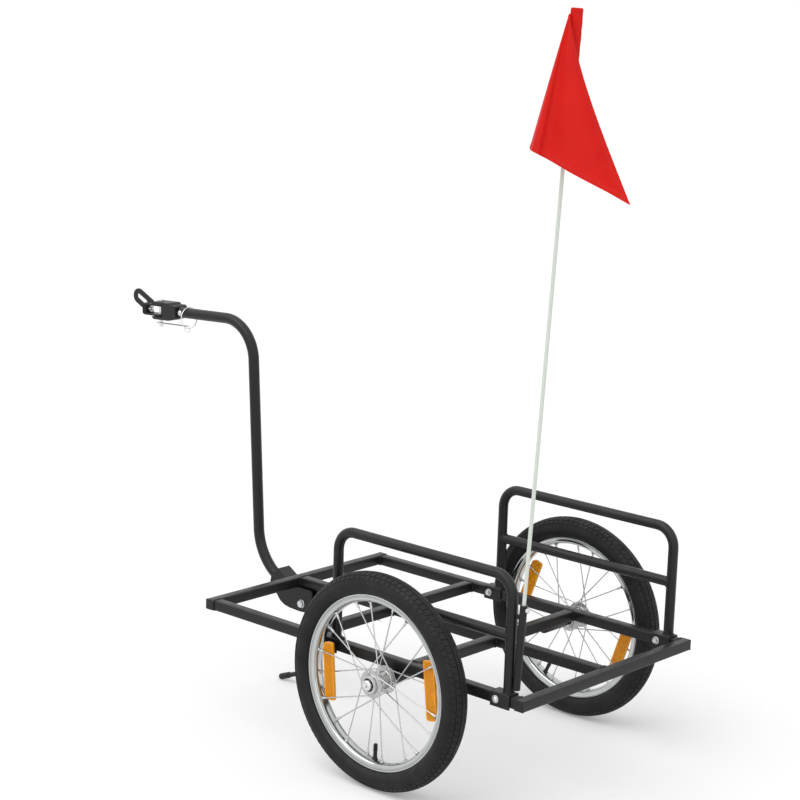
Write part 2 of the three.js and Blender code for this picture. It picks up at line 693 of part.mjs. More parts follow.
// Tow bar bracket: one sheet folded to a U, with the index plunger's barrel on its right side.
const tow = subGroup(trailer);
const bracketHole = circle(PIVOT_RADIUS + RUNNING_GAP, PIVOT[0], PIVOT[1], SIDES_SHAFT);
const plungerAt = fromCorner(-PLUNGER_AHEAD, -PLUNGER_BELOW);
const plungerHole = circle(PLUNGER_PIN_RADIUS + RUNNING_GAP, plungerAt[0], plungerAt[1], SIDES_ROUND);
const plungerFace = BRACKET_HALF_WIDTH + PLUNGER_BODY_LENGTH;
const halfSheet = BRACKET_SHEET / 2;
const onBracket = ([x, z]) => fromCorner(x * (x < 0 ? BRACKET_AHEAD : BRACKET_BEHIND),
  z * (z < 0 ? BRACKET_DEPTH : BRACKET_RISE));
const bracketTop = BRACKET_TOP_SHARES.map(onBracket);
const bracketBelly = BRACKET_BELLY_SHARES.map(onBracket);
const bracketNear = [...bracketTop, ...BRACKET_NOSE_SHARES.map(onBracket), ...bracketBelly];
const bracketFar = [...bracketTop, ...BRACKET_EAR_SHARES.map(onBracket), ...bracketBelly];
const [, , strapFoot, strapEnd] = bracketTop;
const strapLoop = [[strapFoot[0], strapFoot[1] - BRACKET_STRAP_DEPTH], strapFoot, strapEnd,
  [strapEnd[0], strapEnd[1] - BRACKET_STRAP_DEPTH]];
add(tow, 'tow_bar_bracket', 'frame', join(
  plateY(strapLoop, halfSheet - BRACKET_HALF_WIDTH, BRACKET_HALF_WIDTH - halfSheet),
  plateY(bracketNear, -BRACKET_HALF_WIDTH, -BRACKET_INNER, [bracketHole]),
  plateY(bracketFar, BRACKET_INNER, BRACKET_HALF_WIDTH, [bracketHole, plungerHole]),
  plateY(circle(PLUNGER_BODY_RADIUS, plungerAt[0], plungerAt[1], SIDES_ROUND),
    BRACKET_HALF_WIDTH - halfSheet, plungerFace, [plungerHole])));

add(tow, 'tow_pivot_bolt', 'zinc', join(
  pinY(PIVOT_RADIUS, PIVOT[0], PIVOT[1], -BRACKET_HALF_WIDTH - HEX8_HEIGHT / 2,
    BRACKET_HALF_WIDTH + HEX8_HEIGHT + BOLT_TAIL, SIDES_SHAFT),
  plateY(circle(HEX8_RADIUS, PIVOT[0], PIVOT[1], SIDES_HEX), -BRACKET_HALF_WIDTH - HEX8_HEIGHT,
    -BRACKET_HALF_WIDTH)));
add(tow, 'tow_pivot_nut', 'zinc', plateY(circle(HEX8_RADIUS, PIVOT[0], PIVOT[1], SIDES_HEX),
  BRACKET_HALF_WIDTH, BRACKET_HALF_WIDTH + HEX8_HEIGHT,
  [circle(PIVOT_RADIUS + THREAD_GAP, PIVOT[0], PIVOT[1], SIDES_SHAFT)]));

const knee = fromPivot(TOW_KNEE_AHEAD, TOW_KNEE_RISE);
const elbow = fromPivot(TOW_ELBOW_AHEAD, TOW_ELBOW_RISE);
const towTail = vec(PIVOT[0] + TOW_TAIL, 0, PIVOT[1] - TOW_TAIL_DROP);
const towCorners = [towTail, vec(knee[0], 0, knee[1]), vec(elbow[0], 0, elbow[1]),
  vec(TOW_TIP[0], 0, TOW_TIP[1])];
const towChain = rounded(towCorners, [TOW_KNEE_BEND, TOW_ELBOW_BEND], TOW_BEND_STEPS);
const bushHalf = BRACKET_INNER - PIVOT_SIDE_PLAY;
const towDir = vec(TOW_TIP[0] - elbow[0], 0, TOW_TIP[1] - elbow[1]).normalize();
const towBack = vec(PIVOT[0] + TOW_TAIL - knee[0], 0, PIVOT[1] - TOW_TAIL_DROP - knee[1]).normalize();
const boreChain = [towChain[0].clone().addScaledVector(towBack, TOW_TAIL), ...towChain.slice(1, -1),
  towChain[towChain.length - 1].clone().addScaledVector(towDir, TOW_TAIL)];
const clampAt = [TOW_TIP[0] - towDir.x * HITCH_CLAMP_BACK, TOW_TIP[1] - towDir.z * HITCH_CLAMP_BACK];
const towBore = rodAlong(boreChain, sameArea(TOW_BAR_RADIUS - TOW_BAR_WALL, SIDES_BORE), SIDES_BORE);
add(tow, 'tow_bar', 'frame', cut(
  join(cut(rodAlong(towChain, TOW_BAR_RADIUS, SIDES_ROUND), towBore),
    pinY(PIVOT_BUSH_RADIUS, PIVOT[0], PIVOT[1], -bushHalf, bushHalf)),
  pinY(PIVOT_RADIUS + RUNNING_GAP, PIVOT[0], PIVOT[1], -BRACKET_HALF_WIDTH, BRACKET_HALF_WIDTH,
    SIDES_SHAFT),
  pinY(HITCH_CLAMP_RADIUS + THREAD_GAP, clampAt[0], clampAt[1], -BRACKET_HALF_WIDTH, BRACKET_HALF_WIDTH)));

const nose = TOW_BAR_RADIUS + PLUNGER_NOSE_GAP;
const knobEnd = plungerFace + PLUNGER_KNOB_GAP + PLUNGER_KNOB_LENGTH;
const ringY = knobEnd - PLUNGER_KNOB_LENGTH / 2;
const plungerEye = pinX(PULL_EYE_RADIUS, ringY, plungerAt[1], plungerAt[0] - PLUNGER_BODY_RADIUS,
  plungerAt[0] + PLUNGER_BODY_RADIUS);
const knobStart = plungerFace + PLUNGER_KNOB_GAP;
add(tow, 'plunger_pin', 'steel', cut(join(
  pinY(PLUNGER_PIN_RADIUS, plungerAt[0], plungerAt[1], nose, ringY),
  pinY(PLUNGER_KNOB_RADIUS, plungerAt[0], plungerAt[1], knobStart, knobEnd)), plungerEye));
const ringSag = PULL_RING_RADIUS + PULL_EYE_RADIUS - PULL_WIRE_RADIUS - PULL_RING_REST;
add(tow, 'pull_ring', 'steel',
  wireRing(vec(plungerAt[0], ringY, plungerAt[1] - ringSag), PULL_RING_RADIUS, PULL_WIRE_RADIUS, false));

// Hitch: in its own frame X runs forward from the tow bar's end, Z up and Y to the left.
const hitch = subGroup(trailer, TOW_TIP[0], 0, TOW_TIP[1]);
const hitchUp = vec(towDir.z, 0, -towDir.x);
hitch.quaternion.setFromRotationMatrix(new THREE.Matrix4().makeBasis(towDir, vec(0, -1, 0), hitchUp));
const shankRadius = TOW_BAR_RADIUS - TOW_BAR_WALL - HITCH_SHANK_SLACK;
const bodyFront = HITCH_COLLAR + HITCH_BODY;
const through = HITCH_HALF_HEIGHT * 2;
const hitchOutline = [[HITCH_SEAT_GAP, HITCH_COLLAR_RADIUS - HITCH_TAIL / 2],
  [HITCH_TAIL, HITCH_COLLAR_RADIUS], [HITCH_COLLAR - HITCH_TAIL, HITCH_COLLAR_RADIUS],
  [HITCH_COLLAR, HITCH_HALF_HEIGHT],
  [bodyFront - HITCH_BEVEL, HITCH_HALF_HEIGHT], [bodyFront, HITCH_HALF_HEIGHT - HITCH_BEVEL]];
const hitchLoop = [...hitchOutline, ...hitchOutline.map(([x, z]) => [x, -z]).reverse()];
const hitchPinBore = pinZ(HITCH_PIN_RADIUS + RUNNING_GAP, HITCH_PIN_AHEAD, 0, -through, through, SIDES_SHAFT);
add(hitch, 'hitch_block', 'plastic', cut(
  join(plateY(hitchLoop, -HITCH_HALF_WIDTH, HITCH_HALF_WIDTH),
    pinX(shankRadius, 0, 0, -HITCH_SHANK, HITCH_TAIL)),
  box(bodyFront - HITCH_SLOT_DEPTH, bodyFront + through, -through, through,
    -HITCH_SLOT_HALF_HEIGHT, HITCH_SLOT_HALF_HEIGHT),
  hitchPinBore, pinY(HITCH_CLAMP_RADIUS + THREAD_GAP, -HITCH_CLAMP_BACK, 0, -through, through)));

const clampFace = TOW_BAR_RADIUS + HITCH_CLAMP_SEAT;
add(hitch, 'hitch_clamp_bolt', 'zinc', join(
  pinY(HITCH_CLAMP_RADIUS, -HITCH_CLAMP_BACK, 0, -clampFace - HITCH_CLAMP_HEAD / 2,
    clampFace + HITCH_CLAMP_HEAD / 2),
  pinY(HITCH_CLAMP_HEAD_RADIUS, -HITCH_CLAMP_BACK, 0, clampFace, clampFace + HITCH_CLAMP_HEAD),
  plateY(circle(HITCH_CLAMP_HEAD_RADIUS, -HITCH_CLAMP_BACK, 0, SIDES_HEX), -clampFace - HITCH_CLAMP_HEAD,
    -clampFace)));

const pinFoot = -HITCH_HALF_HEIGHT - HITCH_PIN_BELOW;
const clipZ = pinFoot + HITCH_PIN_HOLE_UP;
const pinHeadFoot = HITCH_HALF_HEIGHT + HITCH_SEAT_GAP;
add(hitch, 'hitch_pin', 'steel', cut(join(
  pinZ(HITCH_PIN_RADIUS, HITCH_PIN_AHEAD, 0, pinFoot, pinHeadFoot + HITCH_PIN_HEAD / 2, SIDES_SHAFT),
  pinZ(HITCH_PIN_HEAD_RADIUS, HITCH_PIN_AHEAD, 0, pinHeadFoot, pinHeadFoot + HITCH_PIN_HEAD)),
  pinX(HITCH_PIN_HOLE_RADIUS, 0, clipZ, HITCH_PIN_AHEAD - through, HITCH_PIN_AHEAD + through,
    SIDES_WIRE)));

// The yoke is a strap bent to a U, turning on the hitch pin.
const yokeBack = HITCH_PIN_AHEAD - YOKE_BEHIND_PIN;
const yokeFront = HITCH_PIN_AHEAD + YOKE_REACH;
const yokeInner = YOKE_HALF_HEIGHT - YOKE_SHEET;
const yokeLoop = [[yokeBack, YOKE_HALF_HEIGHT], [yokeFront, YOKE_HALF_HEIGHT], [yokeFront, -YOKE_HALF_HEIGHT],
  [yokeBack, -YOKE_HALF_HEIGHT], [yokeBack, -yokeInner], [yokeFront - YOKE_SHEET, -yokeInner],
  [yokeFront - YOKE_SHEET, yokeInner], [yokeBack, yokeInner]];
add(hitch, 'hitch_yoke', 'frame', cut(plateY(yokeLoop, -YOKE_WIDTH / 2, YOKE_WIDTH / 2), hitchPinBore,
  pinX(SWIVEL_RADIUS + RUNNING_GAP, 0, 0, yokeFront - YOKE_REACH / 3, yokeFront + YOKE_REACH, SIDES_SHAFT)));

// Swivel bolt along the hitch's length: nut, yoke, the bolt's own washer, eye plate, head.
const washerBack = yokeFront + SWIVEL_GAP;
const washerFront = washerBack + SWIVEL_WASHER;
const tabBack = washerFront + SWIVEL_SEAT_GAP;
const tabFront = tabBack + EYE_SHEET;
const headBack = tabFront + SWIVEL_SEAT_GAP;
const headFront = headBack + HEX8_HEIGHT;
const nutFront = yokeFront - YOKE_SHEET - SWIVEL_GAP;
const nutBack = nutFront - SWIVEL_NUT_HEIGHT;
add(hitch, 'swivel_bolt', 'zinc', join(
  pinX(SWIVEL_RADIUS, 0, 0, nutBack - SWIVEL_TAIL, headBack + HEX8_HEIGHT / 2, SIDES_SHAFT),
  pinX(HEX8_RADIUS, 0, 0, headBack, headFront, SIDES_HEX),
  pinX(SWIVEL_WASHER_RADIUS, 0, 0, washerBack, washerFront)));
add(hitch, 'swivel_nut', 'zinc', cut(pinX(SWIVEL_NUT_RADIUS, 0, 0, nutBack, nutFront, SIDES_HEX),
  pinX(SWIVEL_RADIUS + THREAD_GAP, 0, 0, nutBack - YOKE_REACH, nutFront + YOKE_REACH, SIDES_SHAFT)));

// The eye plate: a tab across the bolt and a long slotted plate at one side of it.
const eyeAxis = [Math.cos(EYE_TILT), Math.sin(EYE_TILT)];
const eyeRoot = (tabBack + tabFront) / 2;
const eyePoint = (along, across) => [eyeRoot + along * eyeAxis[0] - across * eyeAxis[1],
  along * eyeAxis[1] + across * eyeAxis[0]];
const farCentre = EYE_LENGTH - EYE_HALF_WIDTH;
const eyeLoop = [[tabBack, -EYE_TAB_HALF_HEIGHT], [tabFront, -EYE_TAB_HALF_HEIGHT],
  eyePoint(EYE_NECK, -EYE_HALF_WIDTH)];
for (let i = 0; i <= EYE_END_STEPS; i += 1) {
  const a = -Math.PI / 2 + (Math.PI * i) / EYE_END_STEPS;
  eyeLoop.push(eyePoint(farCentre + EYE_HALF_WIDTH * Math.cos(a), EYE_HALF_WIDTH * Math.sin(a)));
}
eyeLoop.push([tabBack, EYE_TAB_HALF_HEIGHT]);
const slotLoop = [];
const slotReach = EYE_SLOT_LENGTH / 2 - EYE_SLOT_HALF_WIDTH;
const slotCentre = EYE_LENGTH - EYE_SLOT_LENGTH / 2 - (EYE_HALF_WIDTH - EYE_SLOT_HALF_WIDTH);
for (const [shift, from] of [[slotReach, -Math.PI / 2], [-slotReach, Math.PI / 2]]) {
  for (let i = 0; i <= EYE_END_STEPS; i += 1) {
    const a = from + (Math.PI * i) / EYE_END_STEPS;
    slotLoop.push(eyePoint(slotCentre + shift + EYE_SLOT_HALF_WIDTH * Math.cos(a),
      EYE_SLOT_HALF_WIDTH * Math.sin(a)));
  }
}
add(hitch, 'axle_eye_plate', 'frame', cut(join(
  plateY(eyeLoop, -EYE_SIDE, EYE_SHEET - EYE_SIDE, [slotLoop]),
  box(tabBack, tabFront, -EYE_SIDE, EYE_TAB_NEAR, -EYE_TAB_HALF_HEIGHT, EYE_TAB_HALF_HEIGHT)),
  pinX(SWIVEL_RADIUS + THREAD_GAP, 0, 0, tabBack - YOKE_SHEET, tabFront + YOKE_SHEET, SIDES_SHAFT)));

// Safety clip: a straight leg through the hitch pin, a coil, and a second leg beside the pin.
const coilX = HITCH_PIN_AHEAD - CLIP_REACH;
const coilZ = clipZ - CLIP_COIL_RADIUS;
const clipPoints = [vec(HITCH_PIN_AHEAD + CLIP_TIP, 0, clipZ)];
for (let i = 0; i <= CLIP_COIL_STEPS; i += 1) {
  const a = Math.PI / 2 + (2 * Math.PI * i) / CLIP_COIL_STEPS;
  clipPoints.push(vec(coilX + CLIP_COIL_RADIUS * Math.cos(a), (CLIP_SPREAD * i) / CLIP_COIL_STEPS,
    coilZ + CLIP_COIL_RADIUS * Math.sin(a)));
}
clipPoints.push(vec(HITCH_PIN_AHEAD, CLIP_SPREAD, clipZ),
  vec(HITCH_PIN_AHEAD + CLIP_TIP / 2, CLIP_SPREAD + CLIP_WIRE_RADIUS, clipZ));
add(hitch, 'safety_clip', 'steel', rodAlong(clipPoints, CLIP_WIRE_RADIUS, SIDES_WIRE));
// The clip's ring hangs round the tow bar and passes through the coil.
const ringDrop = TOW_BAR_RADIUS - CLIP_RING_RADIUS + CLIP_RING_WIRE_RADIUS + CLIP_RING_GAP;
add(hitch, 'clip_ring', 'steel',
  wireRing(vec(coilX - CLIP_RING_BACK, 0, ringDrop), CLIP_RING_RADIUS, CLIP_RING_WIRE_RADIUS, true));

// Kickstand: a bent rod between two plates under the centre rail, and a spring clip for the folded leg.
const kickstand = subGroup(trailer);
const kickHalf = KICK_ROD_RADIUS + KICK_GAP;
const kickFace = kickHalf + KICK_SHEET;
const kickOutline = [[KICK[0] - KICK_BRACKET_HALF_LENGTH, DECK_BOTTOM],
  [KICK[0] + KICK_BRACKET_HALF_LENGTH, DECK_BOTTOM],
  [KICK[0] + KICK_BRACKET_HALF_LENGTH / 2, KICK[1] - KICK_BELOW_PIVOT],
  [KICK[0] - KICK_BRACKET_HALF_LENGTH / 2, KICK[1] - KICK_BELOW_PIVOT]];
const kickHole = circle(KICK_PIN_RADIUS + RUNNING_GAP, KICK[0], KICK[1], SIDES_SHAFT);
add(kickstand, 'kickstand_bracket', 'frame', join(
  plateY(kickOutline, -kickFace, -kickHalf, [kickHole]),
  plateY(kickOutline, kickHalf, kickFace, [kickHole]),
  box(KICK[0] - KICK_BRACKET_HALF_LENGTH, KICK[0] + KICK_BRACKET_HALF_LENGTH,
    -kickHalf - KICK_SHEET / 2, kickHalf + KICK_SHEET / 2, DECK_BOTTOM - KICK_SHEET, DECK_BOTTOM)));
add(kickstand, 'kickstand_pin', 'zinc', join(
  pinY(KICK_PIN_RADIUS, KICK[0], KICK[1], -kickFace - KICK_PIN_HEAD / 2, kickFace + KICK_PIN_HEAD / 2,
    SIDES_SHAFT),
  pinY(KICK_PIN_HEAD_RADIUS, KICK[0], KICK[1], -kickFace - KICK_PIN_HEAD, -kickFace),
  pinY(KICK_PIN_HEAD_RADIUS, KICK[0], KICK[1], kickFace, kickFace + KICK_PIN_HEAD)));
const heel = vec(KICK[0] - KICK_HEEL_AHEAD, 0, KICK_HEEL_HEIGHT);
const footTip = vec(heel.x - KICK_FOOT_REACH, 0, KICK_CAP_RADIUS);
const kickDir = heel.clone().sub(vec(KICK[0], 0, KICK[1])).normalize();
const kickTop = vec(KICK[0], 0, KICK[1]).addScaledVector(kickDir, KICK_BOSS_RADIUS / 2);
const kickChain = rounded([kickTop, heel, footTip], [KICK_HEEL_BEND], KICK_BEND_STEPS);
add(kickstand, 'kickstand_leg', 'frame', cut(join(rodAlong(kickChain, KICK_ROD_RADIUS, SIDES_TUBE),
  pinY(KICK_BOSS_RADIUS, KICK[0], KICK[1], -KICK_ROD_RADIUS, KICK_ROD_RADIUS)),
  pinY(KICK_PIN_RADIUS + RUNNING_GAP, KICK[0], KICK[1], -kickHalf * 2, kickHalf * 2, SIDES_SHAFT)));
// The foot is a blind sleeve with a domed end over the rod's end.
const capBore = around(KICK_ROD_RADIUS + THREAD_GAP, SIDES_ROUND);
const capDome = KICK_CAP_RADIUS - KICK_CAP_RADIUS / 2;
const capProfile = [[0, THREAD_GAP], [capBore, THREAD_GAP], [capBore, -KICK_CAP_LENGTH],
  [KICK_CAP_RADIUS, -KICK_CAP_LENGTH], [KICK_CAP_RADIUS, 0], [KICK_CAP_RADIUS * CAP_DOME_SHARES[0], capDome],
  [KICK_CAP_RADIUS * CAP_DOME_SHARES[1], KICK_CAP_RADIUS * CAP_DOME_SHARES[0]], [0, KICK_CAP_RADIUS]];
add(kickstand, 'kickstand_foot', 'plastic', turnedAlong(capProfile,
  footTip, footTip.clone().sub(heel).normalize(), SIDES_ROUND));

const kickClipX = DECK_FRONT + KICK_CLIP_BACK;
const prong = (s) => {
  const inner = s * KICK_CLIP_HALF_GAP;
  const outer = s * (KICK_CLIP_HALF_GAP + KICK_CLIP_SHEET);
  const flare = s * KICK_CLIP_FLARE;
  const waist = DECK_BOTTOM - KICK_CLIP_DROP + KICK_CLIP_FLARE;
  const low = DECK_BOTTOM - KICK_CLIP_DROP;
  const outline = [[inner, DECK_BOTTOM], [inner, waist], [inner + flare, low], [outer + flare, low],
    [outer, waist], [outer, DECK_BOTTOM]];
  const g = plateY(outline, -KICK_CLIP_HALF_LENGTH, KICK_CLIP_HALF_LENGTH);
  g.rotateZ(Math.PI / 2);
  g.translate(kickClipX, 0, 0);
  return g;
};
const clipTopHalf = KICK_CLIP_HALF_GAP + KICK_CLIP_SHEET / 2;
add(kickstand, 'kickstand_clip', 'steel', join(prong(-1), prong(1),
  box(kickClipX - KICK_CLIP_HALF_LENGTH, kickClipX + KICK_CLIP_HALF_LENGTH, -clipTopHalf, clipTopHalf,
    DECK_BOTTOM - KICK_CLIP_SHEET, DECK_BOTTOM)));

// Flag: a socket on the left guard's rear leg, a pole clamped in it, and the pennant in its sleeve.
const flagGroup = subGroup(trailer);
const flagY = -RAIL_Y;
const socketX = GUARD_LEGS[1] + GUARD_RADIUS + SOCKET_RADIUS + SOCKET_STAND_OFF;
const socketBottom = DECK_TOP + SOCKET_BOTTOM_RISE;
const socketTop = DECK_TOP + SOCKET_TOP_RISE;

// The socket and its pole lean back together, and the lean is stated for the pole's top.
const poleBottom = socketBottom + SOCKET_FLOOR + THREAD_GAP;
const poleTop = DECK_TOP + POLE_TOP_RISE;
const poleAt = (z) => vec(socketX + (POLE_LEAN * (z - socketBottom)) / (poleTop - socketBottom), flagY, z);
const upright = (radius, from, to) => rodAlong([poleAt(from), poleAt(to)], radius, SIDES_TUBE);
const webs = SOCKET_WEB_SHARES.map((share) => {
  const z = socketBottom + share * (socketTop - socketBottom);
  const reach = poleAt(z).x - SOCKET_BORE_RADIUS - SOCKET_WEB;
  return box(GUARD_LEGS[1], reach, flagY - SOCKET_WEB, flagY + SOCKET_WEB,
    z - SOCKET_WEB_HEIGHT, z + SOCKET_WEB_HEIGHT);
});
const screwZ = socketTop - SCREW_BELOW_TOP;
const screwX = poleAt(screwZ).x;
add(flagGroup, 'flag_socket', 'frame', cut(
  join(upright(SOCKET_RADIUS, socketBottom, socketTop), ...webs),
  upright(SOCKET_BORE_RADIUS, socketBottom + SOCKET_FLOOR, socketTop + SOCKET_FLOOR),
  pinZ(GUARD_RADIUS + THREAD_GAP, GUARD_LEGS[1], flagY, socketBottom - GUARD_BEND, GUARD_TOP, SIDES_SHAFT),
  pinX(SCREW_RADIUS + THREAD_GAP, flagY, screwZ, screwX, screwX + SOCKET_RADIUS * 2)));
const screwFace = screwX + SOCKET_RADIUS + SCREW_FACE_GAP;
add(flagGroup, 'flag_clamp_screw', 'zinc', join(
  pinX(SCREW_RADIUS, flagY, screwZ, screwX + POLE_RADIUS + SCREW_NOSE_GAP, screwFace + SCREW_HEAD / 2),
  pinX(SCREW_HEAD_RADIUS, flagY, screwZ, screwFace, screwFace + SCREW_HEAD)));
add(flagGroup, 'flag_pole', 'pole', upright(POLE_RADIUS, poleBottom, poleTop));

const hoistLow = poleTop - FLAG_HOIST;
const sleeveTop = poleTop + THREAD_GAP + SLEEVE_TOP_WALL;
add(flagGroup, 'flag_sleeve', 'flag', cut(
  upright(SLEEVE_RADIUS, hoistLow, sleeveTop),
  upright(SLEEVE_BORE_RADIUS, hoistLow - SLEEVE_RADIUS, poleTop + THREAD_GAP)));

// The pennant is a cone of straight creases from the top of the hoist, so it lays out flat
// as a triangle with the hoist as its short side.
const hoistTop = poleAt(poleTop);
const down = poleAt(hoistLow).sub(hoistTop).normalize();
const alongView = vec(Math.cos(FLAG_TURN), Math.sin(FLAG_TURN), 0);
const towardView = vec(Math.sin(FLAG_TURN), -Math.cos(FLAG_TURN), 0);
const foldCurve = new THREE.CatmullRomCurve3(FLAG_FOLD_SHARES.map(([u, v]) => vec(u, v, 0)));
const creases = [];
let turnSum = 0;
for (let i = 0; i <= FLAG_CREASE_COUNT; i += 1) {
  const p = foldCurve.getPoint(i / FLAG_CREASE_COUNT);
  const d = down.clone().addScaledVector(alongView, p.x).addScaledVector(towardView, p.y).normalize();
  if (i > 0) {
    turnSum += creases[i - 1].d.angleTo(d);
  }
  creases.push({ d, turn: turnSum });
}
const seamReach = SLEEVE_RADIUS + FLAG_THICKNESS / 2 + FLAG_SEAM_GAP;
const apex = hoistTop.clone()
  .addScaledVector(alongView, -seamReach * Math.sin(FLAG_SEAM_TURN))
  .addScaledVector(towardView, seamReach * Math.cos(FLAG_SEAM_TURN));
const tipAcross = FLAG_LEADING * Math.sin(turnSum);
const tipDown = FLAG_LEADING * Math.cos(turnSum);
const flagLoops = [];
for (let i = 0; i <= FLAG_CREASE_COUNT; i += 1) {
  const before = creases[Math.max(i - 1, 0)].d;
  const after = creases[Math.min(i + 1, FLAG_CREASE_COUNT)].d;
  const { d, turn } = creases[i];
  const normal = after.clone().sub(before).cross(d).normalize();
  // In the flat triangle, the crease meets the straight lower edge from the hoist's foot to the tip.
  const slope = tipAcross * Math.cos(turn) + (FLAG_HOIST - tipDown) * Math.sin(turn);
  const reach = (FLAG_HOIST * tipAcross) / slope;
  const near = [];
  const far = [];
  for (let k = 0; k <= FLAG_BAND_COUNT; k += 1) {
    const share = k / FLAG_BAND_COUNT;
    const bow = FLAG_BOW * (turn / turnSum) ** 2 * Math.sin(Math.PI * share);
    const p = apex.clone()
      .addScaledVector(d, FLAG_START + (reach - FLAG_START) * share)
      .addScaledVector(alongView, -bow);
    near.push(p.clone().addScaledVector(normal, FLAG_THICKNESS / 2));
    far.push(p.clone().addScaledVector(normal, -FLAG_THICKNESS / 2));
  }
  flagLoops.push([...near, ...far.reverse()]);
}
const flagPositions = flagLoops.flat().flatMap((p) => p.toArray());
const flagIndex = [];
const loopSize = 2 * (FLAG_BAND_COUNT + 1);
for (let i = 0; i < FLAG_CREASE_COUNT; i += 1) {
  for (let k = 0; k < loopSize; k += 1) {
    const m = (k + 1) % loopSize;
    const here = i * loopSize;
    const next = here + loopSize;
    flagIndex.push(here + k, next + k, next + m, here + k, next + m, here + m);
  }
}
for (const [loop, turned] of [[0, false], [FLAG_CREASE_COUNT * loopSize, true]]) {
  for (let k = 0; k < FLAG_BAND_COUNT; k += 1) {
    const quad = [k, k + 1, loopSize - 2 - k, loopSize - 1 - k].map((n) => loop + n);
    if (turned) {
      quad.reverse();
    }
    flagIndex.push(quad[0], quad[1], quad[2], quad[0], quad[2], quad[3]);
  }
}
const flagSurface = new THREE.BufferGeometry();
flagSurface.setAttribute('position', new THREE.Float32BufferAttribute(flagPositions, 3));
flagSurface.setIndex(flagIndex);
add(flagGroup, 'flag', 'flag', flagSurface);

// Wheels, each in a frame at its middle with Y along the axle.
const BEAD = BEAD_RADIUS + BEAD_GAP;
const RIM_INNER = RIM_RADIUS - RIM_DEPTH;
const CHANNEL_HALF = RIM_HALF_WIDTH - RIM_WALL;
const TYRE_MID = (TYRE_RADIUS + BEAD_RADIUS) / 2;
const BEAD_HALF = CHANNEL_HALF - BEAD_GAP;
const TREAD_INNER = TYRE_RADIUS - TREAD_WALL;
const mirrored = (list) => list.map(([r, y]) => [r, -y]).reverse();
const rimOuter = [[RIM_RADIUS, -CHANNEL_HALF], [BEAD_RADIUS, -CHANNEL_HALF],
  [BEAD_RADIUS - RIM_WELL, -CHANNEL_HALF / 2]];
const rimInner = [[RIM_RADIUS, -RIM_HALF_WIDTH], [RIM_INNER + RIM_SHOULDER, -RIM_HALF_WIDTH],
  [RIM_INNER, -RIM_HALF_WIDTH / 2]];
const rimProfile = [...rimOuter, ...mirrored(rimOuter), ...mirrored(rimInner).reverse(),
  ...[...rimInner].reverse()];
const tyreOuter = [[BEAD, -BEAD_HALF], [RIM_RADIUS + BEAD_GAP, -BEAD_HALF],
  [TYRE_MID - 3 * TYRE_SHOULDER, -TYRE_HALF_WIDTH * TYRE_WIDTH_SHARES[0]],
  [TYRE_MID + TYRE_SHOULDER, -TYRE_HALF_WIDTH],
  [TREAD_INNER - TREAD_WALL, -TYRE_HALF_WIDTH * TYRE_WIDTH_SHARES[1]],
  [TYRE_RADIUS - TREAD_DROP, -TYRE_HALF_WIDTH * TYRE_WIDTH_SHARES[2]]];
const tyreInner = [[BEAD, -BEAD_HALF + TYRE_WALL], [RIM_RADIUS + TYRE_WALL, -BEAD_HALF + TYRE_WALL],
  [TYRE_MID, -TYRE_HALF_WIDTH + TYRE_WALL],
  [TREAD_INNER - 2 * TYRE_SHOULDER, -TYRE_HALF_WIDTH * TYRE_WIDTH_SHARES[3]]];
const closedC = (outer, outerTop, inner, innerTop) => [...outer, [outerTop, 0], ...mirrored(outer),
  ...mirrored(inner).reverse(), [innerTop, 0], ...[...inner].reverse()];
const tyreProfile = closedC(tyreOuter, TYRE_RADIUS, tyreInner, TREAD_INNER);
const inset = (list, gap) => list.map(([r, y]) => [r - gap, y + gap]);
const lipAt = [RIM_RADIUS + TYRE_WALL + TUBE_LIP, tyreInner[1][1]];
const tubeOuter = inset([lipAt, ...tyreInner.slice(2)], TUBE_GAP);
const tubeInner = inset(tubeOuter.slice(0, 2), TUBE_WALL);
tubeInner[0][0] = tubeOuter[0][0];
const tubeTop = TREAD_INNER - TUBE_GAP;
const tubeProfile = closedC(tubeOuter, tubeTop, tubeInner, tubeTop - TUBE_WALL);

// A quarter of a circle round (x, z); its start is given in quarter turns.
function quarterArc(x, z, radius, start) {
  return Array.from({ length: REFLECTOR_CORNER_STEPS + 1 }, (_, k) => {
    const turn = (start + k / REFLECTOR_CORNER_STEPS) * (Math.PI / 2);
    return [x + radius * Math.cos(turn), z + radius * Math.sin(turn)];
  });
}

// Anything made along +X from the axle, turned to an angle round the axle.
function spun(geometry, angle) {
  return geometry.rotateY(-angle);
}

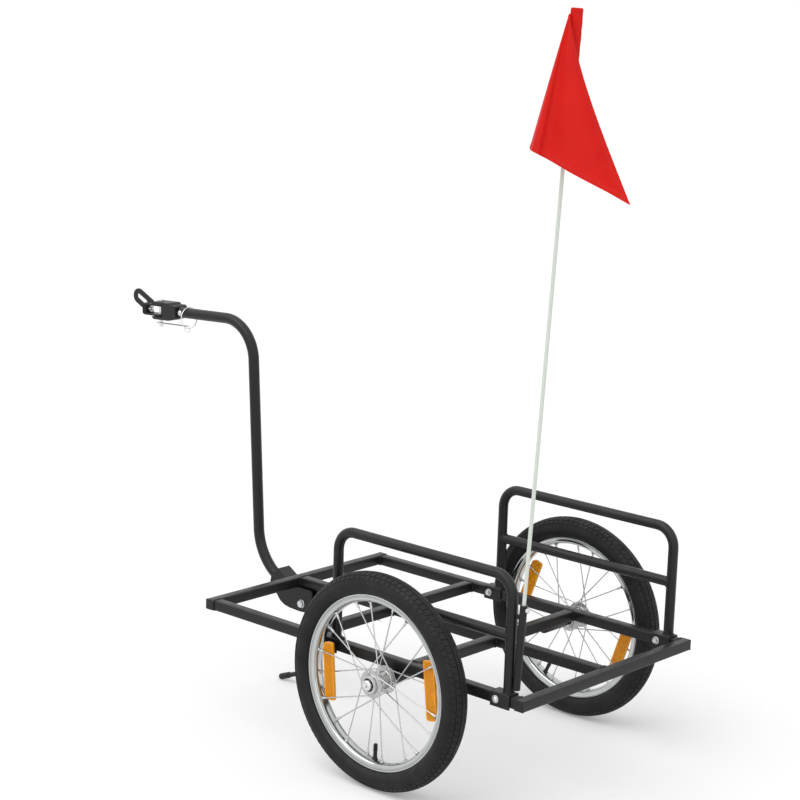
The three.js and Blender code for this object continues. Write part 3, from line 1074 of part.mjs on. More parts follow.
for (const [name, s, valveAngle] of [['left', -1, LEFT_VALVE_ANGLE], ['right', 1, RIGHT_VALVE_ANGLE]]) {
  const wheel = subGroup(trailer, 0, s * WHEEL_Y, AXLE_HEIGHT);
  add(wheel, `${name}_tyre`, 'rubber', turned(tyreProfile, 0, 0, SIDES_FINE));
  const valveHole = spun(pinX(VALVE_RADIUS + BEAD_GAP, 0, 0, RIM_INNER - RIM_DEPTH, RIM_RADIUS + RIM_DEPTH),
    valveAngle);
  add(wheel, `${name}_rim`, 'alloy', cut(turned(rimProfile, 0, 0, SIDES_FINE), valveHole));
  const lip = tubeOuter[0][0];
  const lipHalf = Math.abs(tubeOuter[0][1]);
  const patch = box(lip - TUBE_WALL, lip + TUBE_WALL, -lipHalf, lipHalf, -2 * VALVE_RADIUS, 2 * VALVE_RADIUS);
  const stem = pinX(VALVE_RADIUS, 0, 0, RIM_INNER - VALVE_LENGTH, lip);
  add(wheel, `${name}_inner_tube`, 'rubber', join(turned(tubeProfile, 0, 0, SIDES_FINE),
    spun(patch, valveAngle), spun(stem, valveAngle)));

  // Hub shell with its spokes: ten from each flange, crossed in pairs, each with its nipple.
  const flangeOut = -FLANGE_OFFSET - FLANGE_THICKNESS / 2;
  const flangeIn = -FLANGE_OFFSET + FLANGE_THICKNESS / 2;
  const bearingFloor = -HUB_HALF_LENGTH + BEARING_WIDTH;
  const hubOuter = [[BEARING_RADIUS, -HUB_HALF_LENGTH], [HUB_END_RADIUS, -HUB_HALF_LENGTH],
    [HUB_END_RADIUS, flangeOut], [FLANGE_RADIUS, flangeOut], [FLANGE_RADIUS, flangeIn],
    [HUB_BARREL_RADIUS, flangeIn]];
  const hubInner = [[BEARING_RADIUS, bearingFloor], [HUB_BORE_RADIUS, bearingFloor]];
  const hubProfile = [...hubOuter, ...mirrored(hubOuter), ...mirrored(hubInner).reverse(),
    ...[...hubInner].reverse()];
  const shell = turned(hubProfile, 0, 0, SIDES_SHAFT);
  const lacing = [];
  const pitch = (2 * Math.PI) / SPOKE_COUNT;
  const nippleSeat = RIM_INNER * Math.cos(Math.PI / SIDES_FINE) - NIPPLE_GAP;
  for (let i = 0; i < SPOKE_COUNT; i += 1) {
    const flange = i % 2 === 0 ? -1 : 1;
    const trail = Math.floor(i / 2) % 2 === 0 ? 1 : -1;
    const rimTurn = valveAngle + (i + 1 / 2) * pitch;
    const hubTurn = rimTurn + trail * SPOKE_SWING;
    const head = vec(SPOKE_CIRCLE_RADIUS * Math.cos(hubTurn),
      flange * (FLANGE_OFFSET + trail * SPOKE_STAGGER), SPOKE_CIRCLE_RADIUS * Math.sin(hubTurn));
    const seat = vec(nippleSeat * Math.cos(rimTurn), flange * (NIPPLE_OFFSET + trail * NIPPLE_STAGGER),
      nippleSeat * Math.sin(rimTurn));
    const run = seat.clone().sub(head).normalize();
    const length = seat.distanceTo(head);
    const spokeProfile = [[0, 0], [SPOKE_RADIUS, 0], [SPOKE_RADIUS, length - NIPPLE_LENGTH],
      [NIPPLE_RADIUS, length - NIPPLE_LENGTH], [NIPPLE_RADIUS, length], [0, length]];
    lacing.push(turnedAlong(spokeProfile, head, run, SIDES_SPOKE));
  }
  add(wheel, `${name}_hub_and_spokes`, 'zinc', join(shell, ...lacing));
  const bearings = [['outer', s * (HUB_HALF_LENGTH - BEARING_WIDTH)], ['inner', -s * HUB_HALF_LENGTH]];
  for (const [side, y0] of bearings) {
    const y1 = y0 + s * BEARING_WIDTH;
    const bearingProfile = [[BOSS_BORE, y0], [BEARING_RADIUS - BEARING_FIT, y0],
      [BEARING_RADIUS - BEARING_FIT, y1], [BOSS_BORE, y1]];
    add(wheel, `${name}_${side}_bearing`, 'bearing', turned(bearingProfile, 0, 0, SIDES_SHAFT));
  }

  // Each reflector is a plate with round corners, the outer two larger, so that it clears the rim.
  REFLECTOR_ANGLES.forEach((offset, i) => {
    const outer = RIM_INNER - REFLECTOR_STAND_OFFS[i];
    const inner = outer - REFLECTOR_WIDTH;
    const h = REFLECTOR_LENGTH / 2;
    const large = REFLECTOR_OUTER_CORNER;
    const small = REFLECTOR_INNER_CORNER;
    const corners = [[inner + small, small - h, small], [outer - large, large - h, large],
      [outer - large, h - large, large], [inner + small, h - small, small]];
    const outline = corners.flatMap(([x, z, radius], place) => quarterArc(x, z, radius, place + 2));
    add(wheel, `${name}_reflector_${i + 1}`, 'amber',
      spun(plateY(outline, -REFLECTOR_HALF_THICKNESS, REFLECTOR_HALF_THICKNESS), valveAngle + offset));
  });

  // Quick release axle: a pin with a domed head outside the hub and two detent balls inside the boss.
  const headFace = s * (HUB_HALF_LENGTH + HEAD_GAP);
  const headEnd = headFace + s * AXLE_HEAD_LENGTH;
  const innerEnd = s * (BOSS_INNER_Y - AXLE_BEYOND_BOSS - WHEEL_Y);
  const buttonFloor = headEnd + s * (BUTTON_PROUD - BUTTON_LENGTH - BUTTON_TRAVEL - BUTTON_FLOOR_GAP);
  const domeY = (share) => headFace + s * AXLE_HEAD_LENGTH * share;
  const pinProfile = [[0, innerEnd], [AXLE_RADIUS - DETENT_PROUD, innerEnd],
    [AXLE_RADIUS, innerEnd + s * DETENT_PROUD], [AXLE_RADIUS, headFace], [AXLE_HEAD_RADIUS, headFace],
    [AXLE_HEAD_RADIUS, domeY(HEAD_DOME_SHARES[0])],
    [AXLE_HEAD_RADIUS * HEAD_DOME_SHARES[2], domeY(HEAD_DOME_SHARES[1])],
    [AXLE_HEAD_RADIUS * HEAD_DOME_SHARES[3], headEnd], [AXLE_BORE_RADIUS, headEnd],
    [AXLE_BORE_RADIUS, buttonFloor], [0, buttonFloor]];
  const pin = turned(pinProfile, 0, 0, SIDES_SHAFT);
  const detentY = innerEnd + (s * AXLE_BEYOND_BOSS) / 2;
  const balls = [-1, 1].map((side) => {
    const g = solid(new THREE.SphereGeometry(DETENT_RADIUS, SIDES_BALL, BALL_BANDS));
    g.translate(side * (AXLE_RADIUS + DETENT_PROUD - DETENT_RADIUS), detentY, 0);
    return g;
  });
  add(wheel, `${name}_axle`, 'steel', join(pin, ...balls));
  const buttonTop = headEnd + s * BUTTON_PROUD;
  const buttonFoot = buttonTop - s * BUTTON_LENGTH;
  const buttonProfile = [[0, buttonFoot], [BUTTON_RADIUS, buttonFoot],
    [BUTTON_RADIUS, buttonTop - s * BUTTON_ROUND], [BUTTON_RADIUS - BUTTON_ROUND, buttonTop], [0, buttonTop]];
  add(wheel, `${name}_release_button`, 'steel', turned(buttonProfile, 0, 0, SIDES_ROUND));
}

// The origin goes to the middle of the bounding box's bottom.
const bounds = new THREE.Box3().setFromObject(trailer);
trailer.position.set(-(bounds.min.x + bounds.max.x) / 2, -(bounds.min.y + bounds.max.y) / 2, -bounds.min.z);

export default group;
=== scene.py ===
# %% [markdown]
# # A cargo bike trailer
# The trailer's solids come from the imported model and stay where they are. This lesson dresses them:
# tubes get round bends, tyres get a tread, wheels get laced spokes, and the flag becomes cloth.
# All numbers are metres. Minus X is the front, minus Y is the left side and Z points up.

import json
import math

import bmesh
import bpy
import numpy as np
from mathutils import Matrix, Vector


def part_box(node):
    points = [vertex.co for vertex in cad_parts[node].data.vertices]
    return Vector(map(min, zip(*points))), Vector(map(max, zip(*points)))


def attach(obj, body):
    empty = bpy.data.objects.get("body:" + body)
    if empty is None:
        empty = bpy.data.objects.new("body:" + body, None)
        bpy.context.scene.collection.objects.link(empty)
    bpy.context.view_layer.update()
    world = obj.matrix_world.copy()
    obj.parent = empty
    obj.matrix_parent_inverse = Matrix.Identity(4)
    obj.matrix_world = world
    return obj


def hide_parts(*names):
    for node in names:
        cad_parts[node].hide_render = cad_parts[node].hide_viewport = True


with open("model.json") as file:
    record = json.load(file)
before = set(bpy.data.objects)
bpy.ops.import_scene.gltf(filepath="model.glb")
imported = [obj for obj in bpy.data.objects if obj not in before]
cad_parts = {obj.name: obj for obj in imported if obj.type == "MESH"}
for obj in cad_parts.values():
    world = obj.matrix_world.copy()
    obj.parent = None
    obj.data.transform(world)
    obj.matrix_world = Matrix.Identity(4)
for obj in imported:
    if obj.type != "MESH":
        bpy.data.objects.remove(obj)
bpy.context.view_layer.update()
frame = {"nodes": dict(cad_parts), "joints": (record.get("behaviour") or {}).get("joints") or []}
joints = {joint["name"]: joint for joint in frame["joints"]}
joint_places = {name: np.array(joint["pos_m"]) for name, joint in joints.items() if "pos_m" in joint}
MM = 0.001
X_WAY, Y_WAY, Z_WAY = np.eye(3)


# %% [markdown]
# ## The camera
# The photograph was taken with a long lens from behind the trailer's left rear corner, a little above
# it. The place, the two viewing angles and the slight roll were solved from the wheels and the deck, so
# the render can be laid over the photograph. A matrix of three directions says where a camera looks.

# %% Set up the camera
CAMERA_BEHIND_AXLE, CAMERA_SIDE, CAMERA_HEIGHT = 2.3659, -2.8831, 1.4396
YAW, PITCH, ROLL = map(math.radians, (41.94, 11.72, 1.85))
FOCAL_PIXELS = 2084.4
PHOTO_WIDTH = 800
SENSOR_WIDTH = 36.0
WHEEL_CENTRE = joint_places["left_wheel_spin"]


def photo_camera():
    """Right and up are turned by the roll about the line of sight, and the camera looks along minus Z."""
    right = Vector((math.cos(YAW), math.sin(YAW), 0))
    sight = Vector((-math.sin(YAW) * math.cos(PITCH), math.cos(YAW) * math.cos(PITCH), -math.sin(PITCH)))
    up = right.cross(sight)
    rolled_right = right * math.cos(ROLL) + up * math.sin(ROLL)
    rolled_up = up * math.cos(ROLL) - right * math.sin(ROLL)
    turn = Matrix((rolled_right, rolled_up, -sight)).transposed().to_4x4()
    place = Matrix.Translation((WHEEL_CENTRE[0] + CAMERA_BEHIND_AXLE, CAMERA_SIDE, CAMERA_HEIGHT))
    camera = bpy.data.objects.new("photo_camera", bpy.data.cameras.new("photo_camera"))
    camera.matrix_world = place @ turn
    camera.data.sensor_width = SENSOR_WIDTH
    camera.data.lens = SENSOR_WIDTH * FOCAL_PIXELS / PHOTO_WIDTH
    camera.data.clip_end = 200
    bpy.context.scene.collection.objects.link(camera)
    bpy.context.scene.camera = camera
    return camera


print("lens in millimetres:", round(photo_camera().data.lens, 1))


# %% [markdown]
# ## Light and floor
# A product photograph on white has light from everywhere. Here the world gives even light, one broad
# sun gives the tops of the black tubes their grey sheen, and a weaker one fills from the other side.
# The world and the floor look white to the camera and in reflections, and the floor still takes the
# trailer's soft shadow. A node is added, set and wired in one call, so each shader reads as a list.

# %% Build the studio
WORLD_LIGHT = 0.55
SUN_LIGHT = 1.25
FILL_LIGHT = 0.7
FLOOR_HALF = 60.0
FLOOR_GREY = 0.86
FLOOR_LIFT = 0.2


def feed(tree, socket, value):
    """Wires another node's output into a socket, or sets the socket's own constant."""
    if isinstance(value, bpy.types.NodeSocket):
        tree.links.new(value, socket)
    else:
        socket.default_value = value


def add_node(tree, kind, inputs=(), **settings):
    """Adds a node, sets its options by name and feeds its inputs by name or number."""
    node = tree.nodes.new(kind)
    for key, value in settings.items():
        setattr(node, key, value)
    for key, value in dict(inputs).items():
        feed(tree, node.inputs[key], value)
    return node


def combined(tree, operation, first, second, clamp=False):
    """One number from two, such as their product or the larger of them."""
    inputs = {0: first, 1: second}
    return add_node(tree, "ShaderNodeMath", inputs, operation=operation, use_clamp=clamp).outputs[0]


def seen_as_background(tree):
    """One where a ray comes from the camera, a reflection or a clear piece, and zero otherwise."""
    rays = add_node(tree, "ShaderNodeLightPath").outputs
    either = combined(tree, "MAXIMUM", rays["Is Camera Ray"], rays["Is Glossy Ray"])
    return combined(tree, "MAXIMUM", either, rays["Is Transmission Ray"])


def white_world():
    """Even light on the object, and plain white for what the camera and the metal see."""
    world = bpy.data.worlds.new("white_room")
    bpy.context.scene.world = world
    world.use_nodes = True
    tree = world.node_tree
    light = tree.nodes["Background"]
    feed(tree, light.inputs["Color"], (1, 1, 1, 1))
    feed(tree, light.inputs["Strength"], WORLD_LIGHT)
    backdrop = add_node(tree, "ShaderNodeBackground", {"Color": (1, 1, 1, 1)})
    chooser = add_node(tree, "ShaderNodeMixShader",
                       {0: seen_as_background(tree), 1: light.outputs[0], 2: backdrop.outputs[0]})
    feed(tree, tree.nodes["World Output"].inputs["Surface"], chooser.outputs[0])


def add_sun(name, strength, direction, softness):
    """A sun shines along a direction; a wide angle makes its shadows soft."""
    lamp = bpy.data.lights.new(name, "SUN")
    lamp.energy = strength
    lamp.angle = math.radians(softness)
    sun = bpy.data.objects.new(name, lamp)
    sun.rotation_euler = Vector(direction).to_track_quat("-Z", "Y").to_euler()
    bpy.context.scene.collection.objects.link(sun)


def white_floor():
    """A big sheet at height zero whose white is lifted a little where it is seen."""
    corners = [(x * FLOOR_HALF, y * FLOOR_HALF, 0) for x, y in ((-1, -1), (1, -1), (1, 1), (-1, 1))]
    mesh = bpy.data.meshes.new("floor")
    mesh.from_pydata(corners, [], [(0, 1, 2, 3)])
    floor = bpy.data.objects.new("floor", mesh)
    bpy.context.scene.collection.objects.link(floor)
    paper = bpy.data.materials.new("floor_paper")
    paper.use_nodes = True
    tree = paper.node_tree
    tree.nodes.clear()
    matte = add_node(tree, "ShaderNodeBsdfDiffuse", {"Color": (FLOOR_GREY, FLOOR_GREY, FLOOR_GREY, 1)})
    strength = combined(tree, "MULTIPLY", seen_as_background(tree), FLOOR_LIFT)
    lift = add_node(tree, "ShaderNodeEmission", {"Strength": strength})
    both = add_node(tree, "ShaderNodeAddShader", {0: matte.outputs[0], 1: lift.outputs[0]})
    add_node(tree, "ShaderNodeOutputMaterial", {"Surface": both.outputs[0]})
    mesh.materials.append(paper)


bpy.context.scene.view_settings.view_transform = "Standard"
white_world()
add_sun("broad_key", SUN_LIGHT, (0.25, 0.55, -1.0), 60)
add_sun("broad_fill", FILL_LIGHT, (-0.8, 0.6, -0.45), 90)
white_floor()
print("studio ready")


# %% [markdown]
# ## Two ways to make a surface
# Nearly everything here is a profile carried along a path, as a tube bender or an extruder does, or a
# profile turned round an axis, as a lathe does. Both put their points on a grid of rows and columns,
# worked out as whole arrays, so one small function can make the faces for either.

# %% Grids, sections and routes
def unit(vectors):
    """Each vector divided by its length."""
    vectors = np.asarray(vectors, float)
    return vectors / np.linalg.norm(vectors, axis=-1, keepdims=True)


def grid_faces(rows, columns, rows_close, columns_close):
    """Four-cornered faces between neighbours of a grid; a closed way joins its last line to its first."""
    row = np.arange(rows if rows_close else rows - 1)[:, None]
    column = np.arange(columns if columns_close else columns - 1)[None, :]
    next_row = (row + 1) % rows
    next_column = (column + 1) % columns
    corners = (row * columns + column, next_row * columns + column,
               next_row * columns + next_column, row * columns + next_column)
    return np.stack(np.broadcast_arrays(*corners), -1).reshape(-1, 4)


def round_section(radius, sides=28):
    """Points on a circle: radius times the cosine and the sine of evenly spaced angles."""
    angle = np.arange(sides) * 2 * np.pi / sides
    return radius * np.stack([np.cos(angle), np.sin(angle)], -1)


def square_section(width, height, corner, steps=5):
    """A rectangle whose corners are quarter circles, each swept about its own centre."""
    turns = np.linspace(0, np.pi / 2, steps) + (np.arange(4) * np.pi / 2)[:, None]
    signs = np.array([(1, 1), (-1, 1), (-1, -1), (1, -1)])
    centres = signs * (np.array([width, height]) / 2 - corner)
    arcs = centres[:, None] + corner * np.stack([np.cos(turns), np.sin(turns)], -1)
    return arcs.reshape(-1, 2)


def bent_route(corners, bend_radii, bend_steps=16):
    """Straight runs whose inner corners are arcs: each arc's centre lies on the corner's bisector, at the
    radius divided by the sine of half the corner's angle."""
    corners = [np.asarray(corner, float) for corner in corners]
    route = [corners[0][None]]
    for before, corner, after, radius in zip(corners, corners[1:], corners[2:], bend_radii):
        back, ahead = unit(before - corner), unit(after - corner)
        half = math.acos(float(back @ ahead)) / 2
        centre = corner + unit(back + ahead) * radius / math.sin(half)
        start = corner + back * radius / math.tan(half) - centre
        turn = np.linspace(0, math.pi - 2 * half, bend_steps)[:, None]
        route.append(centre + start * np.cos(turn) - back * radius * np.sin(turn))
    return np.concatenate([*route, corners[-1][None]])


print("a 20 mm square section has", len(square_section(0.02, 0.02, 0.002)), "points")


# %% [markdown]
# ## Carried, turned and cut
# A shell is an array of points and its blocks of faces. A carried section gives tubes, rods and welds, a
# turned profile gives bolts, rims and pins, and a cut plate gives sheet metal. A shell can be written in
# its own easy directions first, and then be laid where it belongs.

# %% Make the shells
def carried(section, route, across, looped=False, swell=None):
    """A section moved along a route. A place is the route's point plus one share of the side direction and
    one of the up direction; up is square to the run and to the given across direction."""
    route = np.asarray(route, float)
    step = np.roll(route, -1, 0) - np.roll(route, 1, 0) if looped else np.gradient(route, axis=0)
    run = unit(step)
    up = unit(np.cross(run, across))
    side = np.cross(up, run)
    size = np.ones(len(route)) if swell is None else swell
    flat = section[None] * size[:, None, None]
    points = route[:, None] + flat[..., :1] * side[:, None] + flat[..., 1:] * up[:, None]
    faces = [grid_faces(len(route), len(section), looped, True)]
    if not looped:
        ring = np.arange(len(section))[None]
        faces += [ring[:, ::-1], ring + (len(route) - 1) * len(section)]
    return points.reshape(-1, 3), faces


def turned(profile, origin, axis, sides=40, looped=False, unit_length=MM):
    """A profile of (radius, distance along the axis) pairs, in millimetres unless another unit is given,
    swept round the axis by the cosine and sine."""
    profile = np.asarray(profile, float) * unit_length
    axis = unit(axis)
    helper = (0, 0, 1) if abs(axis[2]) < 0.9 else (1, 0, 0)
    first = unit(np.cross(axis, helper))
    second = np.cross(axis, first)
    angle = np.arange(sides) * 2 * np.pi / sides
    ring = np.cos(angle)[:, None] * first + np.sin(angle)[:, None] * second
    points = np.asarray(origin) + profile[:, None, 1:] * axis + profile[:, None, :1] * ring
    return points.reshape(-1, 3), [grid_faces(len(profile), sides, looped, True)]


def mirrored(half):
    """A half profile of (radius, y) and its mirror image in one loop; points at y = 0 are kept once."""
    half = np.asarray(half, float)
    image = half[::-1] * (1, -1)
    return np.concatenate([half, image[image[:, 1] != 0]])


def standing(outline, y):
    """An outline of (x, z) pairs stood up in room at one y."""
    outline = np.asarray(outline, float)
    return np.stack([outline[:, 0], np.full(len(outline), y), outline[:, 1]], -1)


def cut_plate(outline, low, high):
    """An outline in the x, z plane carried straight across from y = low to y = high, with both faces."""
    ring = np.arange(len(outline))[None]
    faces = [grid_faces(2, len(outline), False, True), ring[:, ::-1], ring + len(outline)]
    return np.concatenate([standing(outline, low), standing(outline, high)]), faces


def placed(shell, origin, directions):
    """Local x, y, z of a shell laid along three directions from an origin."""
    points, faces = shell
    return np.asarray(origin) + points @ np.asarray(directions, float), faces


print("shape makers ready")


# %% [markdown]
# ## From arrays to pieces
# A piece is one mesh made of one or more shells. Its seam points are merged, its faces are turned
# outward, edges sharper than a chosen angle stay crisp, and it rides on the body that carries it.

# %% Make a piece
MERGE_DISTANCE = 1e-6
ROUND_STEPS = 2
ROUND_FROM = math.radians(35)
finished = []


def make_piece(name, body, finish, node, *shells, crisp=35, flat_map=None):
    """Puts shells of (points, faces) in one mesh; each shell's face numbers are moved past the last. The
    finish is a material and its slot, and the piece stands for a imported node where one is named. A flat
    map gives each point its place on the flat cloth, and becomes the mesh's UV map."""
    faces, first = [], 0
    for points, blocks in shells:
        for block in blocks:
            faces.extend((block + first).tolist())
        first += len(points)
    mesh = bpy.data.meshes.new(name)
    mesh.from_pydata(np.concatenate([points for points, blocks in shells]).tolist(), [], faces)
    if flat_map is not None:
        corners = np.zeros(len(mesh.loops), int)
        mesh.loops.foreach_get("vertex_index", corners)
        mesh.uv_layers.new(name="flat_cloth").data.foreach_set("uv", flat_map[corners].ravel())
    work = bmesh.new()
    work.from_mesh(mesh)
    bmesh.ops.remove_doubles(work, verts=work.verts, dist=MERGE_DISTANCE)
    bmesh.ops.recalc_face_normals(work, faces=work.faces)
    work.to_mesh(mesh)
    work.free()
    mesh.polygons.foreach_set("use_smooth", np.ones(len(mesh.polygons), bool))
    mesh.set_sharp_from_angle(angle=math.radians(crisp))
    mesh.materials.append(finish[0])
    piece = bpy.data.objects.new(name, mesh)
    bpy.context.scene.collection.objects.link(piece)
    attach(piece, body)
    if node:
        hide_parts(node)
    finished.append(piece)
    return piece


def round_edges(piece, width):
    """Rounds a piece's sharper edges. Corners that share a place are merged first."""
    weld = piece.modifiers.new("merge_corners", "WELD")
    weld.merge_threshold = MERGE_DISTANCE * 10
    bevel = piece.modifiers.new("round_edges", "BEVEL")
    bevel.width = width
    bevel.segments = ROUND_STEPS
    bevel.limit_method = "ANGLE"
    bevel.angle_limit = ROUND_FROM
    bevel.harden_normals = True


print("pieces so far:", len(finished))


# %% [markdown]
# ## Small effects that many finishes share
# Each effect is a node group that reads the object's own coordinates, so it sits at a real scale on
# every piece. A group puts out a mask from zero to one, or a bumped normal, and the finish decides
# what to do with it.

# %% Effect groups
def new_group(name, inputs, output, kind="NodeSocketFloat"):
    """A node group with input numbers and one output; gives the group, its inputs and its end."""
    group = bpy.data.node_groups.new(name, "ShaderNodeTree")
    for label, value in inputs.items():
        socket = group.interface.new_socket(label, in_out="INPUT", socket_type="NodeSocketFloat")
        socket.default_value = value
    group.interface.new_socket(output, in_out="OUTPUT", socket_type=kind)
    return group, add_node(group, "NodeGroupInput").outputs, add_node(group, "NodeGroupOutput").inputs[0]


def own_place(tree):
    """The object's own coordinates, which are the trailer's coordinates in metres."""
    return add_node(tree, "ShaderNodeTexCoord").outputs["Object"]


def noise(tree, place, scale, detail):
    """Noise over a place, with finer noise added as many times as the detail says."""
    inputs = {"Vector": place, "Scale": scale, "Detail": detail}
    return add_node(tree, "ShaderNodeTexNoise", inputs).outputs["Fac"]


def mottle_group():
    """Noise in four octaves, stretched between a low and a high bound."""
    group, given, mask = new_group("mottle", {"Scale": 40, "Low": 0.35, "High": 0.65}, "Mask")
    cloud = noise(group, own_place(group), given["Scale"], 4)
    bounds = {"Value": cloud, "From Min": given["Low"], "From Max": given["High"]}
    feed(group, mask, add_node(group, "ShaderNodeMapRange", bounds).outputs["Result"])
    return group


def pebble_group():
    """A bumped normal from noise of one scale, as high as the given distance in metres."""
    group, given, normal = new_group("pebble", {"Scale": 900, "Depth": 0.00005}, "Normal", "NodeSocketVector")
    grain = noise(group, own_place(group), given["Scale"], 2)
    bump = add_node(group, "ShaderNodeBump", {"Height": grain, "Distance": given["Depth"]})
    feed(group, normal, bump.outputs["Normal"])
    return group


def drawn_group():
    """Fine lines round the wheels' axis: noise of the distance from the axle's line and of Y alone."""
    group, given, mask = new_group("drawn", {"Axle X": 0, "Axle Z": 0, "Scale": 900}, "Mask")
    place = add_node(group, "ShaderNodeSeparateXYZ", {0: own_place(group)}).outputs
    from_axle = {way: combined(group, "SUBTRACT", place[way], given["Axle " + way]) for way in "XZ"}
    flat = add_node(group, "ShaderNodeCombineXYZ", from_axle)
    reach = add_node(group, "ShaderNodeVectorMath", {0: flat.outputs[0]}, operation="LENGTH")
    ring = add_node(group, "ShaderNodeCombineXYZ", {"X": reach.outputs["Value"], "Y": place["Y"]})
    feed(group, mask, noise(group, ring.outputs[0], given["Scale"], 3))
    return group


def dust_and_top_light_group():
    """More where the surface looks up: the normal's Z times noise, times the amount. It stands for dust and
    also for painted light that greys the tops.
    """
    group, given, mask = new_group("dust_and_top_light", {"Scale": 25, "Amount": 0.3}, "Mask")
    normal = add_node(group, "ShaderNodeNewGeometry").outputs["Normal"]
    upward = add_node(group, "ShaderNodeSeparateXYZ", {0: normal}).outputs["Z"]
    cloud = noise(group, own_place(group), given["Scale"], 5)
    broken = combined(group, "MULTIPLY", upward, cloud, clamp=True)
    feed(group, mask, combined(group, "MULTIPLY", broken, given["Amount"], clamp=True))
    return group


MOTTLE, PEBBLE, DRAWN, DUST_AND_TOP_LIGHT = mottle_group(), pebble_group(), drawn_group(), dust_and_top_light_group()
print("effect groups:", [group.name for group in bpy.data.node_groups])


# %% [markdown]
# ## Finishes
# A finish starts as one shader with its constants set on its own sockets. Then masks vary its colour and its
# roughness, and a fine bump breaks its reflections. A finish is kept together with the name of one of the
# imported model's slots.

# %% Tools for finishes
def mottle(scale, low=0.35, high=0.65):
    """Cloudy patches, as a group and its inputs."""
    return MOTTLE, {"Scale": scale, "Low": low, "High": high}


def dust_and_top_light(scale, amount):
    """Dust and painted top light on what faces up, as a group and its inputs."""
    return DUST_AND_TOP_LIGHT, {"Scale": scale, "Amount": amount}


def round_lines(scale):
    """Lines round the axle, as a group and its inputs."""
    return DRAWN, {"Axle X": float(WHEEL_CENTRE[0]), "Axle Z": float(WHEEL_CENTRE[2]), "Scale": scale}


def effect(tree, kind):
    """The output of a node that uses an effect group with the inputs that go with it."""
    group, inputs = kind
    return add_node(tree, "ShaderNodeGroup", inputs, node_tree=group).outputs[0]


def vary_roughness(tree, shader, mask, low, high):
    """Roughness goes from low to high as the mask goes from zero to one."""
    spread = add_node(tree, "ShaderNodeMapRange", {"Value": mask, "To Min": low, "To Max": high})
    feed(tree, shader.inputs["Roughness"], spread.outputs["Result"])


def vary_colour(tree, shader, mask, second, share=1.0):
    """The base colour goes some share of the way to a second colour as the mask goes to one."""
    colour = shader.inputs["Base Color"]
    first = colour.links[0].from_socket if colour.is_linked else tuple(colour.default_value)
    inputs = {"Factor": combined(tree, "MULTIPLY", mask, share), "A": first, "B": (*second, 1)}
    feed(tree, colour, add_node(tree, "ShaderNodeMix", inputs, data_type="RGBA").outputs["Result"])


def add_bump(tree, shader, height, distance):
    """A bump, as high as a distance in metres, over the bump that the shader has already."""
    normal = shader.inputs["Normal"]
    bump = add_node(tree, "ShaderNodeBump", {"Height": height, "Distance": distance})
    if normal.is_linked:
        feed(tree, bump.inputs["Normal"], normal.links[0].from_socket)
    feed(tree, normal, bump.outputs["Normal"])


def new_finish(name, slot, colour, roughness, rough=None, tints=(), skin=None, **sockets):
    """A material with one Principled shader; sockets are its input names with underscores for spaces.
    Rough is an effect and its two roughnesses, each tint is an effect, a second colour and a share, and
    skin is a pebbled bump's scale and height. Gives the material and its slot."""
    material = bpy.data.materials.new(name)
    material.use_nodes = True
    tree, shader = workings((material, slot))
    for key, value in {"Base_Color": (*colour, 1), "Roughness": roughness, **sockets}.items():
        feed(tree, shader.inputs[key.replace("_", " ")], value)
    if rough:
        vary_roughness(tree, shader, effect(tree, rough[0]), *rough[1:])
    for kind, *change in tints:
        vary_colour(tree, shader, effect(tree, kind), *change)
    if skin:
        grain = effect(tree, (PEBBLE, {"Scale": skin[0], "Depth": skin[1]}))
        feed(tree, shader.inputs["Normal"], grain)
    return material, slot


def workings(finish):
    """A finish's node tree and its shader."""
    tree = finish[0].node_tree
    return tree, tree.nodes["Principled BSDF"]


print("finish tools ready")


# %% [markdown]
# ## Paint, metal, rubber and plastic
# The frame is steel with satin black powder baked on, which leaves a faint orange peel; the grey on the
# tubes' tops is partly dust and partly painted light from above. Bolts are zinc plated, with cloudy patches.
# The wheels' metal was rolled or drawn, so its lines run round the axle, and a mask that reads the distance
# from the axle draws them without any picture; the rim's broader dark rings are painted reflection.
# Mould-textured rubber and plastic are nearly black, so their roughness and a lighter grey on what faces up
# do the work.

# %% The hard finishes
# The grey on upward faces is partly dust and partly painted light: it keeps the tubes' tops grey as a sheen
# from above would.
PAINT = new_finish("black_powder_coat", "frame_paint", (0.0095, 0.0098, 0.0105), 0.36,
                   (mottle(60), 0.31, 0.43), [(dust_and_top_light(55, 0.7), (0.055, 0.054, 0.05))], (650, 0.00009),
                   Specular_IOR_Level=0.27, Coat_Weight=0.04, Coat_Roughness=0.3)
ZINC = new_finish("zinc_plate", "zinc", (0.66, 0.67, 0.68), 0.26, (mottle(220), 0.2, 0.38),
                  [(mottle(220), (0.52, 0.53, 0.56), 0.6)], (1800, 0.00002), Metallic=1)
BRIGHT = new_finish("polished_steel", "polished_steel", (0.74, 0.75, 0.76), 0.14, (mottle(500), 0.1, 0.24),
                    [(mottle(500), (0.6, 0.61, 0.63), 0.5)], Metallic=1)


